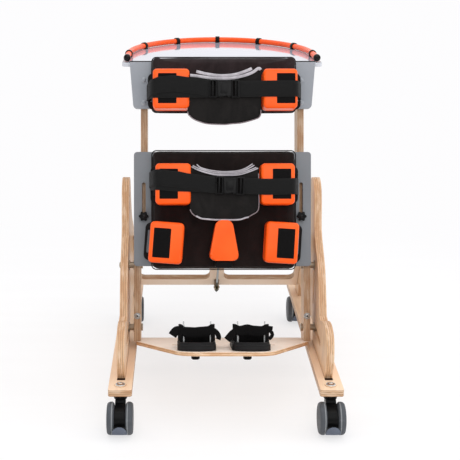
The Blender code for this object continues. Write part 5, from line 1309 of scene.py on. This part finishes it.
def foot_holder(name, side):
    """One foot holder: sole, heel cup, posts, and the strap that goes round them and the foot."""
    body = "foot_" + name
    label = "foot_holder_" + name
    place_at = in_frame(side * FOOT_X - 0.0040, 0, 0)
    piece = kit(label, body, BLACK_RUBBER, "black_plastic", place_at)
    low = FOOTBOARD_TOP + SKIN
    sole = rounded(mm((-42.5, -230, 20), (42.5, -230, 20), (43.5, -85, 22), (-43.5, -85, 22)), 8)
    lying = place_at @ Matrix.Rotation(-QUARTER, 4, "X")
    piece(slab, "_sole", sole, -low, -low - 0.0042, 0.0012, at=lying, stands_for=label)
    for number in range(8):
        v = -0.206 + number * 0.0135
        piece(rod, "_rib_%d" % (number + 1), [
            (-0.034, v, low + 0.0042), (0.0, v, low + 0.0044), (0.034, v, low + 0.0042),
        ], 0.0011, 6)
    for tag, half, bulge, top, wall in (
        ("_rim", 0.0418, 0.0245, low + 0.0125, 0.0046),
        ("_lip", 0.0396, 0.0225, low + 0.0188, 0.0036),
    ):
        heel = [math.pi * (1 + step / 24) for step in range(1, 24)]
        line = [(-half, v) for v in (-0.138, -0.175, -0.205)]
        line += [(half * math.cos(turn), -0.2190 + bulge * math.sin(turn)) for turn in heel]
        line += [(half, v) for v in (-0.205, -0.175, -0.138)]
        piece(swept_wall, tag, line, low + 0.0005, top, wall)
        piece(rod, tag + "_bead", [(x, v, top - 0.0008) for x, v in line], wall * 0.56, 10)
    for number, across in enumerate((-0.0298, 0.0322)):
        piece(lathe, "_post_%d" % (number + 1), [
            (0, -28.7), (6.2, -28.7), (6.2, -25.5), (2.7, -24.7), (2.6, 23.5), (1.8, 24.5),
            (1.7, 31.5), (1.2, 32.2), (0, 32.4),
        ], 20, dress=ZINC, slot="steel", at=place_at @ moved(across, -0.200, 0))
    strap_label = "foot_strap_" + name
    piece = kit(strap_label, body, STRAP_PILE, "webbing", place_at)
    top_line = STRAP_TOPS[name]
    piece(
        ribbon, "_band", BAND_PATH, 0.0235, 0.0026, lambda x: top_line(x) - 0.01175,
        stands_for=strap_label,
    )
    piece(ribbon, "_instep", INSTEP_PATH, 0.0300, 0.0034, INSTEP_RISE)
    for tag, wide, points in LOOSE_ENDS[name]:
        piece(loose_end, tag, curved(points, 6), wide, 0.0024)
    knob = "foot_knob_" + name
    knob_at = in_frame(side * FOOT_X - 0.0050, -0.107, FOOTBOARD_TOP - 0.009)
    piece = kit(knob, knob, BLACK, "black_plastic", knob_at)
    piece(lathe, "_body", [
        (0, -0.3), (7.5, -0.3), (8.2, -1.8), (4, -2.6), (4, -14), (7.8, -14.8), (9, -16.5),
        (9, -24), (7.8, -25.8), (0, -26.2),
    ], 30, stands_for=knob)
    for step in range(10):
        x = 0.0088 * math.cos(2 * math.pi * step / 10)
        y = 0.0088 * math.sin(2 * math.pi * step / 10)
        line = [(x, y, height) for height in (-0.0170, -0.0205, -0.0240)]
        piece(rod, "_grip_%d" % (step + 1), line, 0.0013, 6)


for name, side in SIDES:
    foot_holder(name, side)


# Castors: twin wheels with hubs, housing between them, and the brake pedal

WHEEL_FORMS = (
    ("tread", TYRE, (
        (4.5, 12.6), (28.5, 12.6), (33, 13.4), (36.2, 15.6), (37.4, 18.8), (37.4, 22.6),
        (36.2, 26.4), (33.8, 28.8), (31.5, 29.4),
    )),
    # A bead ring in a pale tone: painted highlight on the tread's rim.
    ("line", TREAD_HIGHLIGHT, (
        (35, 15.6), (36.7, 16.2), (37.4, 17.3), (37.7, 18), (37.4, 18.7), (35, 19.2),
    )),
    ("face", HUB, (
        (31.6, 22.6), (31.5, 29.2), (30, 27.8), (27, 27.4), (18, 28.6), (10.5, 29.2), (9.5, 28.6),
        (0, 28.6),
    )),
)


def pedal_shell(name, material, place_at, columns=16, steps=10):
    """A curved tongue over the wheels' front, narrowing to its tip."""
    shape = bmesh.new()
    sheets = []
    for radius in (0.0388, 0.0408):
        sheet = []
        for index in range(steps + 1):
            angle = math.radians(184 + 33 * index / steps)
            half = 0.0168 * math.sqrt(max(1 - (1 - min(index / steps * 1.35, 1.0)) ** 2, 0.03))
            row = []
            for column in range(columns + 1):
                across = -1 + 2 * column / columns
                bow = radius + 0.0006 * (1 - across ** 2)
                spot = (across * half, bow * math.cos(angle), bow * math.sin(angle))
                row.append(shape.verts.new(spot))
            sheet.append(row)
        sheets.append(sheet)
    closed_sheets(shape, *sheets)
    return from_shape(name, shape, material, place_at, 60)


def castor_pieces(corner, side, depth):
    """The visible pieces of one castor."""
    label = "castor_" + corner
    stem = moved(side * RUNNER_X, depth - MIDDLE_Y, 0)
    axle = stem @ moved(0, -CASTOR_TRAIL, WHEEL_RADIUS)
    turned = axle @ Matrix.Rotation(QUARTER, 4, "Y")
    wheel = kit(label, "wheels_" + corner, TYRE, "grey_tyre", turned)
    node = "castor_wheels_" + corner
    for tag, way in (("a", -1), ("b", 1)):
        for form, material, profile in WHEEL_FORMS:
            sided = [(radius, way * height) for radius, height in profile]
            wheel(lathe, "_%s_%s" % (form, tag), sided, 64, 50, dress=material, stands_for=node)
            node = None
    piece = kit(label, label, BLACK, "black_plastic", stem)
    piece(lathe, "_neck", [
        (0, 74.8), (15, 74.8), (15.4, 76), (15.4, 88.5), (14.2, 89.7), (0, 89.7),
    ], stands_for="castor_housing_" + corner)
    outline = arc((-CASTOR_TRAIL, WHEEL_RADIUS), 0.0270, 118, 322, 40) + mm(
        (7.5, 48), (11.8, 62), (12.2, 75.2), (-12.2, 75.2), (-15, 69), (-26, 65.2),
    )
    along_y = stem @ Matrix.Rotation(QUARTER, 4, "Z")
    piece(slab, "_housing", outline, -0.0118, 0.0118, 0.0012, 2, at=along_y)
    pedal = kit(label, "pedal_" + corner, PEDAL, "pedal_grey", axle)
    pedal(pedal_shell, "_pedal", stands_for="brake_pedal_" + corner)


for end, depth in (("front", 0.0), ("rear", WHEELBASE)):
    for name, side in SIDES:
        castor_pieces("%s_%s" % (end, name), side, depth)


# Knobs, bolts and screws

def lobed_knob(name, side):
    """A six-lobed knob with its boss and washer, facing the user."""
    place_at = in_frame(side * MAST_X, PANEL_FRONT - SKIN, KNOB_W) @ FACING_USER
    label = "star_knob_" + name
    piece = kit(label, "knob_" + name, BLACK, "black_plastic", place_at)
    outline = []
    for turn in (2 * math.pi * step / 96 for step in range(96)):
        radius = 0.0110 + 0.0015 * math.cos(6 * turn)
        outline.append((radius * math.cos(turn), radius * math.sin(turn)))
    piece(stack, "_head", outline, (
        (0.80, 0.0062), (0.96, 0.0070), (1.0, 0.0085), (1.0, 0.0135), (0.95, 0.0152),
        (0.80, 0.0160),
    ), 35, stands_for=label)
    piece(lathe, "_boss", [(0, 0), (8.8, 0), (9, 1.6), (6, 2.2), (5.6, 7), (0, 7)], 30)
    piece(lathe, "_cap", [(0, 17), (3, 16.8), (4.6, 16.2), (5, 15), (0, 15)], 30, dress=BLACK_GLOSS)


def dome_bolt(name, place_at, body, radius):
    """A domed zinc bolt with a thin washer and a dark hexagon of painted shade as its socket; its
    radius in millimetres.
    """
    socket = 2.4
    piece = kit(name, body, ZINC, "zinc", place_at)
    piece(lathe, "_washer", [(0, 0.6), (radius * 1.22, 0.6), (radius * 1.26, 0), (0, 0)])
    piece(lathe, "_head", [
        (socket, 3), (socket * 1.15, 3.35), (radius * 0.62, 3.25), (radius * 0.90, 2.2),
        (radius, 0.8), (radius, 0.4), (0, 0.4),
    ])
    # The socket is a flat dark hexagon: painted shade in place of a deep hole.
    hexagon = arc((0, 0), socket / 1000, 0, 300, 5)
    piece(stack, "_socket", hexagon, ((1, 0.0018), (1, 0.0031)), None, dress=PAINTED_SHADE)


STEM_FORMS = (
    ("stem_washer", ZINC, 48, (
        (7.8, 0.2), (7.8, 2.6), (8.8, 3.4), (10.4, 2.8), (11.4, 1.2), (11.6, 0.2),
    )),
    ("stem_core", BROWN_CORE, 32, ((0, 4.6), (4, 5), (6.2, 4.6), (8, 3), (8, 0.2), (0, 0.2))),
    ("stem_centre", ZINC, 28, ((0, 6.6), (2.4, 6.4), (3.6, 5.6), (4, 4.4), (0, 4.4))),
)

for name, side in SIDES:
    lobed_knob(name, side)
for name, side in SIDES:
    for number, height in enumerate(CHEST_BOLTS_W):
        spot = in_frame(side * MAST_X, PANEL_FRONT - 0.0001, height) @ FACING_USER
        dome_bolt("chest_bolt_%s_%d" % (name, number + 1), spot, "chest_unit", 6.2)
    spot = in_frame(side * UPRIGHT_X, UPRIGHT_FRONT, 0.030) @ FACING_USER
    dome_bolt("upright_bolt_" + name, spot, "frame", 6.4)
    for number, depth in enumerate((0.0, WHEELBASE)):
        spot = moved(side * RUNNER_X, depth - MIDDLE_Y, RUNNER_TOP + 0.0001)
        piece = kit("", "base", ZINC, "zinc", spot)
        for form, material, steps, profile in STEM_FORMS:
            piece(lathe, "%s_%s_%d" % (form, name, number + 1), profile, steps, dress=material)
